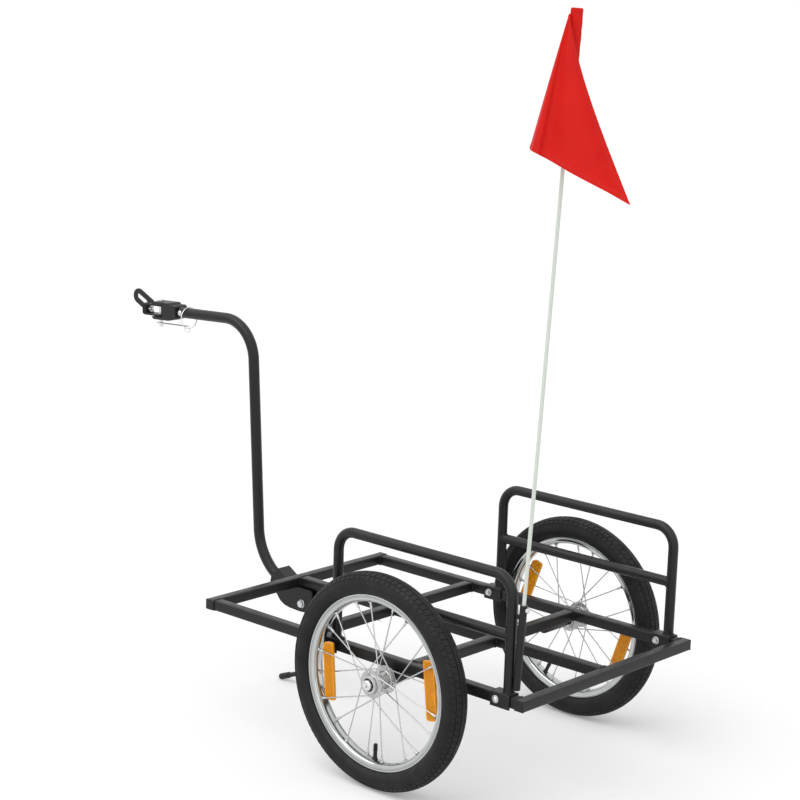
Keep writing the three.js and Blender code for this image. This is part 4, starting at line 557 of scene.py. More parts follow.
def wheel_metal(name, slot, colour, shade, low, high, scale, painted_reflection_scale=0):
    """Metal of a wheel whose fine lines run round the axle. The bands are painted reflection: broad dark
    rings mixed into the colour to stand for dark surroundings mirrored in polished metal.
    """
    lines = round_lines(scale)
    finish = new_finish(name, slot, colour, low, (lines, low, high),
                        [(mottle(30), shade, 0.5), (lines, shade, 0.6)], Metallic=1)
    tree, shader = workings(finish)
    # Painted reflection: broad dark rings round the axle darken the colour where a polished rim would mirror
    # dark surroundings.
    if painted_reflection_scale:
        bounds = {"Value": effect(tree, round_lines(painted_reflection_scale)), "From Min": 0.5, "From Max": 0.66}
        painted_reflection = add_node(tree, "ShaderNodeMapRange", bounds)
        vary_colour(tree, shader, painted_reflection.outputs["Result"], (0.1, 0.11, 0.11), 0.8)
    add_bump(tree, shader, effect(tree, lines), 0.00001)
    return finish


def tyre_rubber():
    """Dull black rubber with a grey bloom in patches, fine mould rings and a pebbled skin."""
    finish = new_finish("tyre_rubber", "tyre", (0.0105, 0.011, 0.0115), 0.55, (mottle(35), 0.52, 0.72),
                        [(mottle(14, 0.45, 0.75), (0.018, 0.018, 0.019), 0.6),
                         (dust_and_top_light(80, 0.5), (0.06, 0.058, 0.055))], (1500, 0.00006), Specular_IOR_Level=0.24)
    tree, shader = workings(finish)
    add_bump(tree, shader, effect(tree, round_lines(700)), 0.00012)
    return finish


def moulded_black(name, slot, colour, roughness, grain, depth):
    """Black plastic or rubber from a spark-textured mould."""
    rough = (mottle(120), roughness - 0.06, roughness + 0.08)
    return new_finish(name, slot, colour, roughness, rough, [(dust_and_top_light(90, 0.6), (0.05, 0.05, 0.05))],
                      (grain, depth), Specular_IOR_Level=0.3)


SPOKE_METAL = wheel_metal("drawn_spoke_wire", "spoke_steel", (0.62, 0.63, 0.64), (0.5, 0.51, 0.53),
                          0.2, 0.34, 300)
HUB_METAL = wheel_metal("hub_zinc", "spoke_steel", (0.56, 0.56, 0.55), (0.42, 0.42, 0.42), 0.18, 0.36, 1200)
# The last number sets the size of the dark rings painted on the rim as a reflection of dark surroundings.
RIM_METAL = wheel_metal("polished_rim", "rim_alloy", (0.62, 0.64, 0.63), (0.44, 0.46, 0.45),
                        0.06, 0.17, 1600, 520)
TYRE = tyre_rubber()
TUBE = moulded_black("tube_rubber", "tube_rubber", (0.014, 0.014, 0.014), 0.5, 1100, 0.00004)
PLASTIC = moulded_black("black_plastic", "black_plastic", (0.012, 0.012, 0.013), 0.42, 1400, 0.00006)
SEAL = moulded_black("bearing_seal", "bearing_seal", (0.016, 0.016, 0.017), 0.34, 2600, 0.00003)
print("finishes:", len(bpy.data.materials))


# %% [markdown]
# ## Amber, cloth and glass fibre
# A reflector is clear orange plastic over its own prisms: partly see-through, glossy and a little cloudy
# inside. The flag is plain woven nylon: its weave reads the cloth's own flat map, so the threads follow
# every fold, and a little light comes through it. The pole is glass fibre in clear resin, pale green
# white, with long fibres that run up it.

# %% The clear and woven finishes
AMBER = new_finish("amber_lens", "amber", (0.97, 0.34, 0.002), 0.14, (mottle(90), 0.08, 0.2),
                   [(mottle(180), (1.0, 0.44, 0.01), 0.55)], Transmission_Weight=0.04, IOR=1.49,
                   Coat_Weight=0.12, Specular_IOR_Level=0.26)
THREAD = new_finish("flag_thread", "flag_cloth", (0.55, 0.01, 0.012), 0.5, None,
                    [(mottle(900), (0.72, 0.05, 0.05), 0.6)], (5000, 0.00005), Sheen_Weight=0.3)
WEAVE_SCALE = 320.0


def flag_nylon():
    """Two crossing waves of thread over the flat map make the weave, and a translucent share glows."""
    finish = new_finish("flag_nylon", "flag_cloth", (0.8, 0.009, 0.003), 0.4, None,
                        [(mottle(18), (0.7, 0.006, 0.005), 0.7)], Sheen_Weight=0.05, Sheen_Roughness=0.4,
                        Sheen_Tint=(1, 0.3, 0.2, 1), Specular_IOR_Level=0.22)
    tree, shader = workings(finish)
    thread = {"Vector": add_node(tree, "ShaderNodeUVMap").outputs[0], "Scale": WEAVE_SCALE, "Distortion": 0.6,
              "Detail": 1}
    waves = [add_node(tree, "ShaderNodeTexWave", thread, bands_direction=way, wave_profile="SIN")
             for way in "XY"]
    height = combined(tree, "ADD", waves[0].outputs["Fac"], waves[1].outputs["Fac"])
    add_bump(tree, shader, height, 0.00008)
    glow = add_node(tree, "ShaderNodeBsdfTranslucent", {"Color": (0.9, 0.03, 0.015, 1)})
    both = add_node(tree, "ShaderNodeMixShader", {0: 0.12, 1: shader.outputs[0], 2: glow.outputs[0]})
    feed(tree, tree.nodes["Material Output"].inputs["Surface"], both.outputs[0])
    return finish


def pole_glass():
    """Noise stretched fifty times along Z varies the colour and the roughness."""
    finish = new_finish("pole_fibreglass", "pole_fibreglass", (0.76, 0.8, 0.73), 0.3, Coat_Weight=0.4,
                        Coat_Roughness=0.12)
    tree, shader = workings(finish)
    stretch = add_node(tree, "ShaderNodeMapping", {"Vector": own_place(tree), "Scale": (1, 1, 0.02)})
    fibres = noise(tree, stretch.outputs[0], 2500, 2)
    vary_colour(tree, shader, fibres, (0.56, 0.64, 0.56), 0.8)
    vary_roughness(tree, shader, fibres, 0.22, 0.4)
    return finish


NYLON = flag_nylon()
POLE = pole_glass()
print("finishes:", len(bpy.data.materials))


# %% [markdown]
# ## Tyres
# A tyre's section is two quarter ellipses on each side: one over the crown and one down to the rim.
# The tread is a height added along the crown's own normal. Lists say, for each angle from the crown's middle,
# how much height there is, and which of a block's lines lie in a gap there.

# %% Make the tyres
SIDES = {"left": -1, "right": 1}
WHEEL_RADIUS = float(WHEEL_CENTRE[2])
HALF_WIDTH = (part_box("left_tyre")[1][1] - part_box("left_tyre")[0][1]) / 2
TREAD_RISE = 1.2 * MM
CROWN_RISE = 21.8 * MM
WIDEST_RADIUS = WHEEL_RADIUS - CROWN_RISE - TREAD_RISE
BEAD_TOP, BEAD_FOOT, BEAD_HALF = 161.4 * MM, 153.4 * MM, 12.1 * MM
CASING = 3.4 * MM
TREAD_BLOCKS = 100
BLOCK_LEAN_SHARE = 0.5
BLOCK_LINES = np.array([0, 0.03, 0.14, 0.17, 0.5, 0.53, 0.64, 0.67])
TREAD_ANGLES = np.array([0, 0.06, 0.125, 0.135, 0.195, 0.205, 0.34, 0.48, 0.61, 0.62, 0.675, 0.685,
                         0.79, 0.89, 0.985, 1, 1.06, 1.1, 1.11, 1.135, 1.145, 1.25, 1.36, 1.47])
TREAD_HEIGHTS = np.array([1, 1, 1, 0, 0, 1, 1, 1, 1, 0, 0, 1, 1, 1, 0.92, 0.12, 0, 0, 0.32, 0.32, 0, 0, 0, 0])
TREAD_GAPS = (((1, 2), slice(5, 9)), ((5, 6), slice(11, 15)))


def ellipse_side(half_width, crown_rise, foot_half, foot_radius, angles):
    """One side of a section as (radius, y): an ellipse over the crown at the given angles, then a second
    one from the widest place down to the foot."""
    crown = np.stack([WIDEST_RADIUS + crown_rise * np.cos(angles), half_width * np.sin(angles)], -1)
    down = np.linspace(0, np.pi / 2, 11)
    wall = np.stack([WIDEST_RADIUS - (WIDEST_RADIUS - foot_radius) * np.sin(down),
                     foot_half + (half_width - foot_half) * np.cos(down)], -1)
    return np.concatenate([crown, wall])


def tyre_shell(centre):
    """Places are radius and y at each crown angle, plus tread height along the ellipse's normal, turned
    round the axle; the turn leans with the crown angle so that the blocks make arrows."""
    angle, crown_count = TREAD_ANGLES, len(TREAD_ANGLES)
    outer = ellipse_side(HALF_WIDTH, CROWN_RISE, BEAD_HALF, BEAD_TOP, angle)
    inner = ellipse_side(HALF_WIDTH - CASING, CROWN_RISE - CASING, BEAD_HALF - CASING, BEAD_TOP + CASING,
                         angle[::4])
    normal = unit(np.stack([np.cos(angle) / CROWN_RISE, np.sin(angle) / HALF_WIDTH], -1))
    foot = [(BEAD_FOOT + CASING / 4, BEAD_HALF), (BEAD_FOOT, BEAD_HALF - CASING / 4),
            (BEAD_FOOT, BEAD_HALF - CASING)]
    half = np.concatenate([outer, foot, inner[::-1]])
    rise = np.zeros(half.shape)
    rise[:crown_count] = normal * (TREAD_HEIGHTS * TREAD_RISE)[:, None]
    lean = np.ones(len(half))
    lean[:crown_count] = np.minimum(angle, 1)
    gap = np.zeros((len(BLOCK_LINES), len(half)), bool)
    for block_lines, crown_rows in TREAD_GAPS:
        gap[list(block_lines), crown_rows] = True
    mirror = np.arange(len(half) - 1, 0, -1)
    order = np.concatenate([mirror, np.arange(len(half))])
    sign = np.concatenate([-np.ones(len(mirror)), np.ones(len(half))])
    block = np.arange(TREAD_BLOCKS)[:, None] + BLOCK_LINES
    turn = (block[..., None] + lean[order] * BLOCK_LEAN_SHARE) * 2 * np.pi / TREAD_BLOCKS
    place = half[order] + rise[order] * ~gap[:, order, None]
    radius, y = np.broadcast_to(place[..., 0], turn.shape), np.broadcast_to(place[..., 1] * sign, turn.shape)
    points = np.stack([radius * np.cos(turn), y, radius * np.sin(turn)], -1) + centre
    return points.reshape(-1, 3), [grid_faces(TREAD_BLOCKS * len(BLOCK_LINES), len(order), True, True)]


centres = {side: joint_places[f"{side}_wheel_spin"] for side in SIDES}
for side in SIDES:
    make_piece(f"{side}_tyre_dressed", f"{side}_wheel", TYRE, f"{side}_tyre", tyre_shell(centres[side]),
               crisp=28)
print("faces in a tyre:", len(finished[0].data.polygons))


# %% [markdown]
# ## Rims, tubes and valves
# The rim is one closed profile: a well for the bead, hooks that hold it and a rounded inner wall. Each
# lip is rolled outward, so it catches a bright line all the way round. A lathe's profile makes all of
# these, and the cap's grip is every second line of it pulled inwards.

# %% Make rims, tubes and valves
RIM_HALF_MM = [(151, 0), (151, 5.5), (151.6, 7.4), (153, 8.6), (153.1, 12), (153.6, 12.5), (158.9, 12.5),
               (160.1, 12.3), (160.8, 12.5), (161, 13.1), (160.9, 13.9), (160.3, 14.4), (159.4, 14.5),
               (158.4, 14.3), (157.7, 13.8), (156.6, 13.4), (152.6, 13.3), (150.9, 13), (149.6, 12.1),
               (148.2, 10.3), (147, 8), (146.3, 5.6), (146, 3), (145.95, 0)]
VALVE_ANGLES = {"left": math.radians(-91), "right": math.radians(-116)}
STEM_MM = [(0, 165.5), (3.4, 165.5), (3.4, 148), (5.4, 146.6), (5.2, 145.4), (4.2, 143.4), (3.7, 140.6),
           (3.55, 134), (3.7, 131.6), (3.7, 129.6), (3.1, 129.2), (3, 127), (0, 127)]
CAP_MM = [(0, 129), (3.95, 129), (4.15, 128.5), (4.15, 127.9), (3.8, 127.6), (3.8, 120.4), (3.7, 118.6),
          (3.2, 117.2), (2.2, 116.4), (0, 116.2)]
CAP_RIBS, CAP_PULL = 18, 0.07
TUBE_SLACK = 0.8 * MM


def ribbed(profile, origin, axis, ribs, share):
    """A turned shell with four points to a rib, every second pair pulled a share of the way to the axis."""
    sides = ribs * 4
    points, faces = turned(profile, origin, axis, sides)
    around = np.arange(len(points)) % sides
    reach = points - origin
    along = (reach @ axis)[:, None] * axis
    pull = 1 - share * ((around * ribs * 2 // sides) % 2)
    return origin + along + (reach - along) * pull[:, None], faces


def radial(angle):
    """The direction out from an axle at an angle in the wheel's plane."""
    return np.array([math.cos(angle), 0, math.sin(angle)])


for side in SIDES:
    body, centre = f"{side}_wheel", centres[side]
    make_piece(f"{side}_rim_rolled", body, RIM_METAL, f"{side}_rim",
               turned(mirrored(RIM_HALF_MM), centre, Y_WAY, 200, True), crisp=40)
    tube_half = np.array([CROWN_RISE - CASING, HALF_WIDTH - CASING]) - TUBE_SLACK
    loop = (WIDEST_RADIUS, 0) + round_section(1, 24) * tube_half
    outward = radial(VALVE_ANGLES[side])
    make_piece(f"{side}_tube_and_stem", body, TUBE, f"{side}_inner_tube",
               turned(loop / MM, centre, Y_WAY, 72, True), turned(STEM_MM, centre, outward, 28))
    make_piece(f"{side}_valve_cap", body, PLASTIC, None, ribbed(CAP_MM, centre, outward, CAP_RIBS, CAP_PULL),
               crisp=30)
print("rims, tubes and valves done")


# %% [markdown]
# ## Hubs and lacing
# Twenty spokes run from the flanges to the rim. Each starts at a head on one face of its flange, passes
# through, bends and runs straight to its nipple. Spokes that trail lie on the flange's outer face and
# spokes that lead lie on its inner face, as a wheel builder laces them.

# %% Make hubs and lacing
HUB_HALF_MM = [(9, 0), (9, 19), (14, 19), (14, 26.9), (14.3, 27), (17, 27), (17.5, 26.6), (17.5, 21),
               (18.1, 20.1), (19, 19.6), (24.6, 19.5), (25.3, 19.2), (25.5, 18.6), (25.5, 17.4), (25.3, 16.8),
               (24.6, 16.5), (18.4, 16.4), (16.6, 15.8), (15.6, 14.6), (15.5, 13.4), (15.5, 1.2), (15.8, 0.6),
               (15.8, 0)]
SPOKES = 20
SPOKE_RADIUS = 1.15 * MM
HEAD_CIRCLE = 21.5 * MM
FLANGE_MIDDLE, FLANGE_STAGGER = 18.0 * MM, 1.3 * MM
NIPPLE_SEAT = 144.88 * MM
RIM_INSIDE = 145.95 * MM
SEAT_OFFSET, SEAT_STAGGER = 5.4 * MM, 0.7 * MM
SPOKE_SWING = math.radians(62)
ELBOW_RADIUS = 1.5 * MM
SPOKE_THROUGH = 4.1 * MM
HEAD_SINK = 0.3 * MM
HEAD_MM = [(0, 0), (1.5, 0.15), (2, 0.7), (2, 1), (1.3, 1.5), (0, 1.5)]
NIPPLE_MM = [(1.3, -11), (1.9, -10.8), (2.15, -10.2), (2.15, -3.4), (1.75, -3.2), (1.75, -2.2), (2.3, -1.8),
             (2.6, -0.4), (2.6, 0.6), (1.3, 0.6)]
EYELET_MM = [(2.7, 0.1), (4, 0.1), (4.1, -0.4), (3.8, -1.6), (2.7, -1.6)]


def spoke_ends(centre, side, number):
    """Turn at the rim is even; turn at the hub swings back or ahead of it. Heads sit beside the flange's
    middle and seats beside the rim's middle, on the side of the flange."""
    flange = 1 if number % 2 else -1
    trail = 1 if number // 2 % 2 == 0 else -1
    rim_turn = VALVE_ANGLES[side] + (number + 0.5) * 2 * np.pi / SPOKES
    head = centre + HEAD_CIRCLE * radial(rim_turn + trail * SPOKE_SWING) \
        + flange * (FLANGE_MIDDLE + FLANGE_STAGGER * trail) * Y_WAY
    seat = centre + NIPPLE_SEAT * radial(rim_turn) + flange * (SEAT_OFFSET + SEAT_STAGGER * trail) * Y_WAY
    return head, seat, radial(rim_turn), flange * trail * Y_WAY


for side in SIDES:
    body, centre = f"{side}_wheel", centres[side]
    make_piece(f"{side}_hub_shell", body, HUB_METAL, f"{side}_hub_and_spokes",
               turned(mirrored(HUB_HALF_MM), centre, Y_WAY, 96, True), crisp=40)
    wires, nipples, eyelets = [], [], []
    for number in range(SPOKES):
        head, seat, outward, through = spoke_ends(centre, side, number)
        run = unit(seat - head)
        start = head - through * SPOKE_THROUGH
        route = bent_route([start, head, seat], [ELBOW_RADIUS], 7)
        wires.append(carried(round_section(SPOKE_RADIUS, 12), route, unit(np.cross(through, run))))
        wires.append(turned(HEAD_MM, start - through * HEAD_SINK, through, 16))
        nipples.append(turned(NIPPLE_MM, seat, run, 16, True))
        eyelets.append(turned(EYELET_MM, seat + outward * (RIM_INSIDE - NIPPLE_SEAT), outward, 24, True))
    make_piece(f"{side}_spokes", body, SPOKE_METAL, None, *wires)
    make_piece(f"{side}_nipples", body, (ZINC[0], "spoke_steel"), None, *nipples)
    make_piece(f"{side}_spoke_eyelets", body, RIM_METAL, None, *eyelets)
print("spokes in a wheel:", SPOKES)


# %% [markdown]
# ## Bearings, axles and reflectors
# A sealed bearing shows two steel rings with a dark seal between them. The axle is a stub with a domed
# head, a release button in its middle and two detent balls at its inner end. A reflector is a plate
# whose two faces carry rows of small pyramids; the plate comes packed and the faces are laid over it.

# %% Make bearings, axles and reflectors
BEARING_PLACE = 23.0 * MM
STEEL_RINGS_MM = (mirrored([(7.8, 3.7), (7.6, 4), (6.1, 4)]),
                  mirrored([(13.9, 3.8), (13.8, 4), (12.5, 4), (12.3, 3.7)]))
SEAL_MM = mirrored([(12.3, 3.4), (11.8, 3.2), (11.2, 3.6), (9, 3.6), (8.4, 3.2), (7.8, 3.4)])
AXLE_INNER_MM = 178
AXLE_HEAD_MM = [(6, 24), (6, 27.3), (9.2, 27.3), (9.9, 27.8), (10, 28.6), (10, 30.6), (9.6, 32.2),
                (8.5, 33.4), (6.8, 34.1), (4.7, 34.3), (3.75, 34.1), (3.7, 33.4), (3.7, 21), (0, 21)]
AXLE_NECK_MM = [(0, 0), (4.6, 0), (5.4, 0.5), (6, 1.4), (6, 4.2), (5.7, 4.5), (5.7, 6), (6, 6.3)]
BUTTON_MM = [(0, 24.8), (3.4, 24.8), (3.5, 25.2), (3.5, 36.6), (3.3, 37.3), (2.8, 37.7), (1.8, 37.8),
             (1.2, 37.5), (0, 37.3)]
BALL_RADIUS_MM, BALL_OUT_MM, BALL_IN_MM = 2.0, 4.6, 3.4
LENS_ROWS, LENS_COLUMNS = 7, 34
LENS_MARGIN = 2.2 * MM
LENS_BACK = 0.4 * MM
PRISM_RISE = 0.7 * MM
REFLECTOR_HALF = (12 * MM, 54 * MM, 2.5 * MM)
REFLECTOR_CORNERS = (4 * MM, 10 * MM)
REFLECTOR_PLACES = ((math.radians(-84), 121 * MM), (math.radians(98), 124 * MM))


def ball(place):
    """A sphere turned round the Z direction from a half circle of 12 steps."""
    sweep = np.linspace(0, np.pi, 12)
    half_circle = BALL_RADIUS_MM * np.stack([np.sin(sweep), -np.cos(sweep)], -1)
    return turned(half_circle, place, Z_WAY, 20)


def prism_face(centre, turn, circle, way):
    """Rows and columns of pyramids: height is one minus the larger distance, in cells, from the cell's
    middle. Near a round corner each row shortens by the radius less the circle's height there."""
    half_width, half_length, half_thick = REFLECTOR_HALF
    rows, columns = LENS_ROWS * 2 + 1, LENS_COLUMNS * 2 + 1
    across, along = np.meshgrid(np.linspace(-1, 1, rows), np.linspace(-1, 1, columns), indexing="ij")
    middle = (np.arange(rows) % 2)[:, None] * (np.arange(columns) % 2)
    reach = across * (half_width - LENS_MARGIN)
    length = along * (half_length - LENS_MARGIN)
    for facing, corner in zip((-1, 1), REFLECTOR_CORNERS):
        round_radius = corner - LENS_MARGIN
        past = np.maximum(0, facing * reach - (half_width - corner))
        length = length - along * (round_radius - np.sqrt(np.maximum(0, round_radius ** 2 - past ** 2)))
    top = np.stack([reach, way * (half_thick + middle * PRISM_RISE), length], -1)
    back = np.stack([reach, np.full(reach.shape, way * (half_thick - LENS_BACK)), length], -1)[:, ::-1]
    points = np.concatenate([top, back], 1).reshape(-1, 3)
    ring = np.arange(columns * 2)[None]
    faces = [grid_faces(rows, columns * 2, False, True), ring[:, ::-1], ring + (rows - 1) * columns * 2]
    outward, onward = radial(turn), radial(turn + math.pi / 2)
    return placed((points, faces), centre + outward * circle, (outward, Y_WAY, onward))


for side, sign in SIDES.items():
    body, centre = f"{side}_wheel", centres[side]
    for name, way in (("outer", sign), ("inner", -sign)):
        place = centre + way * BEARING_PLACE * Y_WAY
        make_piece(f"{side}_{name}_bearing_rings", body, BRIGHT, f"{side}_{name}_bearing",
                   *[turned(profile, place, Y_WAY, 64, True) for profile in STEEL_RINGS_MM], crisp=30)
        make_piece(f"{side}_{name}_bearing_seal", body, SEAL, None, turned(SEAL_MM, place, Y_WAY, 64, True),
                   crisp=30)
    inner_end = AXLE_INNER_MM - abs(centre[1]) / MM
    neck = np.array(AXLE_NECK_MM) + (0, inner_end)
    balls = [ball(centre + np.array([way * BALL_OUT_MM, sign * (inner_end + BALL_IN_MM), 0]) * MM)
             for way in (-1, 1)]
    make_piece(f"{side}_axle_pin", "frame", BRIGHT, f"{side}_axle",
               turned([*neck, *AXLE_HEAD_MM], centre, sign * Y_WAY, 56), *balls, crisp=30)
    make_piece(f"{side}_button_domed", f"{side}_button", BRIGHT, f"{side}_release_button",
               turned(BUTTON_MM, centre, sign * Y_WAY), crisp=30)
    lenses = [prism_face(centre, VALVE_ANGLES[side] + turn, circle, way)
              for turn, circle in REFLECTOR_PLACES for way in (-1, 1)]
    make_piece(f"{side}_reflector_prisms", body, AMBER, None, *lenses, crisp=20)
print("pieces so far:", len(finished))


# %% [markdown]
# ## The deck
# Square steel tube with rounded corners makes the deck. Where one tube meets another, a weld bead runs
# round the joint: a thin rope of metal whose thickness ripples as each drop of weld cooled.

# %% Make tubes and welds
TUBE_SIZE = 20 * MM
HALF_TUBE = TUBE_SIZE / 2
TUBE_CORNER = 2.6 * MM
WELD_RADIUS = 1.5 * MM
WELD_STEP = 0.45 * MM
WELD_RIPPLE = 2.6 * MM


def evenly(route, step, looped=False):
    """Points at equal distances along a route, found from the running sum of its lengths."""
    route = np.asarray(route, float)
    if looped:
        route = np.concatenate([route, route[:1]])
    travelled = np.concatenate([[0], np.cumsum(np.linalg.norm(np.diff(route, axis=0), axis=1))])
    count = max(8, int(round(travelled[-1] / step)))
    wanted = np.linspace(0, travelled[-1], count, endpoint=not looped)
    return np.stack([np.interp(wanted, travelled, route[:, axis]) for axis in range(3)], -1)


def weld(route, across, looped=True):
    """A bead whose size is nine tenths plus a share of a rectified sine of the distance along it."""
    route = evenly(route, WELD_STEP, looped)
    along = np.arange(len(route)) * WELD_STEP
    swell = 0.9 + 0.22 * np.abs(np.sin(np.pi * along / WELD_RIPPLE))
    return carried(round_section(WELD_RADIUS, 8), route, across, looped, swell)


def square_tube(start, end):
    """A rounded square section carried from one place of the deck to another, both as (x, y)."""
    across = Y_WAY if start[0] != end[0] else X_WAY
    route = [(*start, DECK_MIDDLE_Z), (*end, DECK_MIDDLE_Z)]
    return carried(square_section(TUBE_SIZE, TUBE_SIZE, TUBE_CORNER), route, across)


def tube_weld(x, y, direction):
    """A bead round the end of a square tube that meets another face to face."""
    first, second = np.roll(direction, 1), np.roll(direction, 2)
    flat = square_section(TUBE_SIZE, TUBE_SIZE, TUBE_CORNER, 4)
    return weld((x, y, DECK_MIDDLE_Z) + flat[:, :1] * first + flat[:, 1:] * second, direction)


print("weld bead, across in millimetres:", 2 * WELD_RADIUS / MM)


# %% [markdown]
# ## Laying out the deck
# Two cross tubes close the ends, and three rails and two broken cross members run between them. Each
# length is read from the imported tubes, so the dressed deck can't drift from them.

# %% Make the deck
BOSS_MM = [(6.3, 0), (12.6, 0), (13.3, 0.4), (13.5, 1), (13.5, 62), (13.3, 62.6), (12.6, 63), (6.3, 63)]
BOSS_WELD_BESIDE, BOSS_WELD_ABOVE = 11.6 * MM, 12.4 * MM
deck_low, deck_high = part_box("front_cross_tube")[0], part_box("rear_cross_tube")[1]
DECK_MIDDLE_Z = (deck_low[2] + deck_high[2]) / 2
front_x, rear_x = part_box("front_cross_tube")[1][0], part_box("rear_cross_tube")[0][0]
rail_y = deck_high[1] - HALF_TUBE
inner_face = rail_y - HALF_TUBE
bay = (rear_x - front_x - 2 * TUBE_SIZE) / 3
member_places = [front_x + (number + 1) * bay + (number + 0.5) * TUBE_SIZE for number in range(2)]

for end in ("front", "rear"):
    low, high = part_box(f"{end}_cross_tube")
    x = (low[0] + high[0]) / 2
    make_piece(f"{end}_cross_tube_rounded", "frame", PAINT, f"{end}_cross_tube",
               square_tube((x, low[1]), (x, high[1])))
for side, sign in SIDES.items():
    low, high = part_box(f"{side}_rail")
    boss_start = (centres[side][0], high[1] if sign < 0 else low[1], centres[side][2])
    make_piece(f"{side}_rail_and_boss", "frame", PAINT, f"{side}_rail",
               square_tube((front_x, sign * rail_y), (rear_x, sign * rail_y)),
               turned(BOSS_MM, boss_start, sign * Y_WAY, 56, True), crisp=30)
members = [square_tube((x, sign * HALF_TUBE), (x, sign * inner_face))
           for x in member_places for sign in (-1, 1)]
make_piece("centre_rail_and_members", "frame", PAINT, "centre_rail_and_cross_members",
           square_tube((front_x, 0), (rear_x, 0)), *members)

beads = [tube_weld(x, y, X_WAY) for x in (front_x, rear_x) for y in (-rail_y, 0, rail_y)]
beads += [tube_weld(x, sign * y, Y_WAY)
          for x in member_places for sign in (-1, 1) for y in (HALF_TUBE, inner_face)]
for side, sign in SIDES.items():
    for way in (-1, 1):
        inward = sign * (inner_face - abs(centres[side][1]))
        start = centres[side] + (way * BOSS_WELD_BESIDE, inward, BOSS_WELD_ABOVE)
        beads.append(weld([start, start + sign * TUBE_SIZE * Y_WAY], Z_WAY, False))
make_piece("deck_welds", "frame", PAINT, None, *beads, crisp=60)
print("weld beads on the deck:", len(beads))


# %% [markdown]
# ## Bolts and nuts
# Each guard is held by domed bolts with washers and nuts. A bolt is a turned profile whose tail is a saw
# tooth, which reads as a thread at this size. A nut needs its six sides, so its radius goes up and down
# six times round the axis, and both ends are cut back to a circle as a real nut's are.

# %% Make bolts and nuts
DOME_MM = np.array([(0, 4), (1.6, 3.85), (3.2, 3.35), (4.5, 2.4), (5.3, 1.3), (5.6, 0.4), (5.6, 0)])
WASHER_THICK_MM = 1
WASHER_MM = np.array([(3.1, 0), (6.9, 0), (7.1, 0.2), (7.1, 0.8), (6.9, 1), (3.1, 1)])
M6_PITCH_MM, M8_PITCH_MM = 1.0, 1.25
M6_NUT_MM = (5.6, 3, 4)
TAIL_MM, TAIL_THREAD_FROM_MM, TAIL_THREAD_MM = 7, 6.6, 6
NUT_SIDES = 36


def thread(radius, start, length, pitch=M6_PITCH_MM):
    """A saw-toothed profile: radius falls and rises once in each pitch along a bolt's tail."""
    line = np.arange(int(length / pitch) * 2 + 1)
    return np.stack([radius - np.where(line % 2, pitch * 0.3, 0), start + line * pitch / 2], -1)


def hex_nut(radius, bore, height, origin, axis):
    """Four loops of a nut, in millimetres. A hexagon's edge lies at the inner radius divided by the cosine
    of the angle from the middle of its side, and the two end loops are cut back to a circle."""
    from_middle = (np.arange(NUT_SIDES) * 2 * np.pi / NUT_SIDES) % (np.pi / 3) - np.pi / 6
    flat = radius * math.cos(math.pi / 6) / np.cos(from_middle)
    chamfered = np.minimum(flat, radius * 0.93)
    hole = np.full(NUT_SIDES, bore)
    profile = [(1, share * height) for share in (0, 0, 0.12, 0.88, 1, 1)]
    points, faces = turned(profile, (0, 0, 0), axis, NUT_SIDES, True)
    loops = points.reshape(6, NUT_SIDES, 3)
    along = (loops @ unit(axis))[..., None] * unit(axis)
    radii = np.stack([hole, chamfered, flat, flat, chamfered, hole])
    shaped = along + (loops - along) * radii[..., None]
    return shaped.reshape(-1, 3) + origin, faces


def dome_bolt(face, sign, through):
    """A domed head and washer on one side of a saddle, and a nut, washer and threaded tail on the other."""
    axis = sign * Y_WAY
    tail = thread(3, -through - TAIL_THREAD_FROM_MM, TAIL_THREAD_MM)
    shank = [(0, -through - TAIL_MM), (2.2, -through - TAIL_MM), *tail, (3, 0.5), (0, 0.5)]
    far_washer = WASHER_MM * (1, -1) - (0, through)
    nut_place = face - axis * (through + (WASHER_THICK_MM + M6_NUT_MM[2])) * MM
    return [turned((DOME_MM + (0, WASHER_THICK_MM))[::-1], face, axis, 32), turned(shank, face, axis, 24),
            turned(WASHER_MM, face, axis, 32, True), turned(far_washer, face, axis, 32, True),
            hex_nut(*M6_NUT_MM, nut_place, axis)]


print("points on a guard bolt's tail:", len(thread(3, 0, TAIL_THREAD_MM)))


# %% [markdown]
# ## The side guards
# Each guard is one bent round tube with a bar across, welded into two saddles that sit over the deck
# rail. The bar's ends meet the legs in a saddle-shaped line, and the weld follows that line.

# %% Make the side guards
GUARD_RADIUS = 9.5 * MM
GUARD_BEND = 38 * MM
LEG_FRONT_INSET, LEG_REAR_INSET = 30 * MM, 12 * MM
SADDLE_SHEET = 3.0 * MM
SADDLE_CORNER = 2.4 * MM
LEG_SINK = 1.0 * MM
LEG_WELD_RISE, LEG_WELD_GAP = 1.6 * MM, 0.4 * MM
MID_BAR_ABOVE_DECK = 104 * MM


def saddle_outline(half_width, top, bottom):
    """A channel seen end on: half of it goes up the outside, round the corner and across; the inside
    comes back. Corners are quarter circles."""
    quarter = np.linspace(0, np.pi / 2, 6)
    arc = np.stack([np.cos(quarter), np.sin(quarter)], -1)
    outer = np.array([half_width, top]) - SADDLE_CORNER + SADDLE_CORNER * arc
    inset = max(SADDLE_CORNER - SADDLE_SHEET, SADDLE_SHEET / 6)
    inner = np.array([half_width, top]) - SADDLE_SHEET - inset + inset * arc
    right = np.array([(half_width, bottom), *outer])
    back = np.array([*inner[::-1], (half_width - SADDLE_SHEET, bottom)])
    return np.concatenate([right, right[::-1] * (-1, 1), back[::-1] * (-1, 1), back])


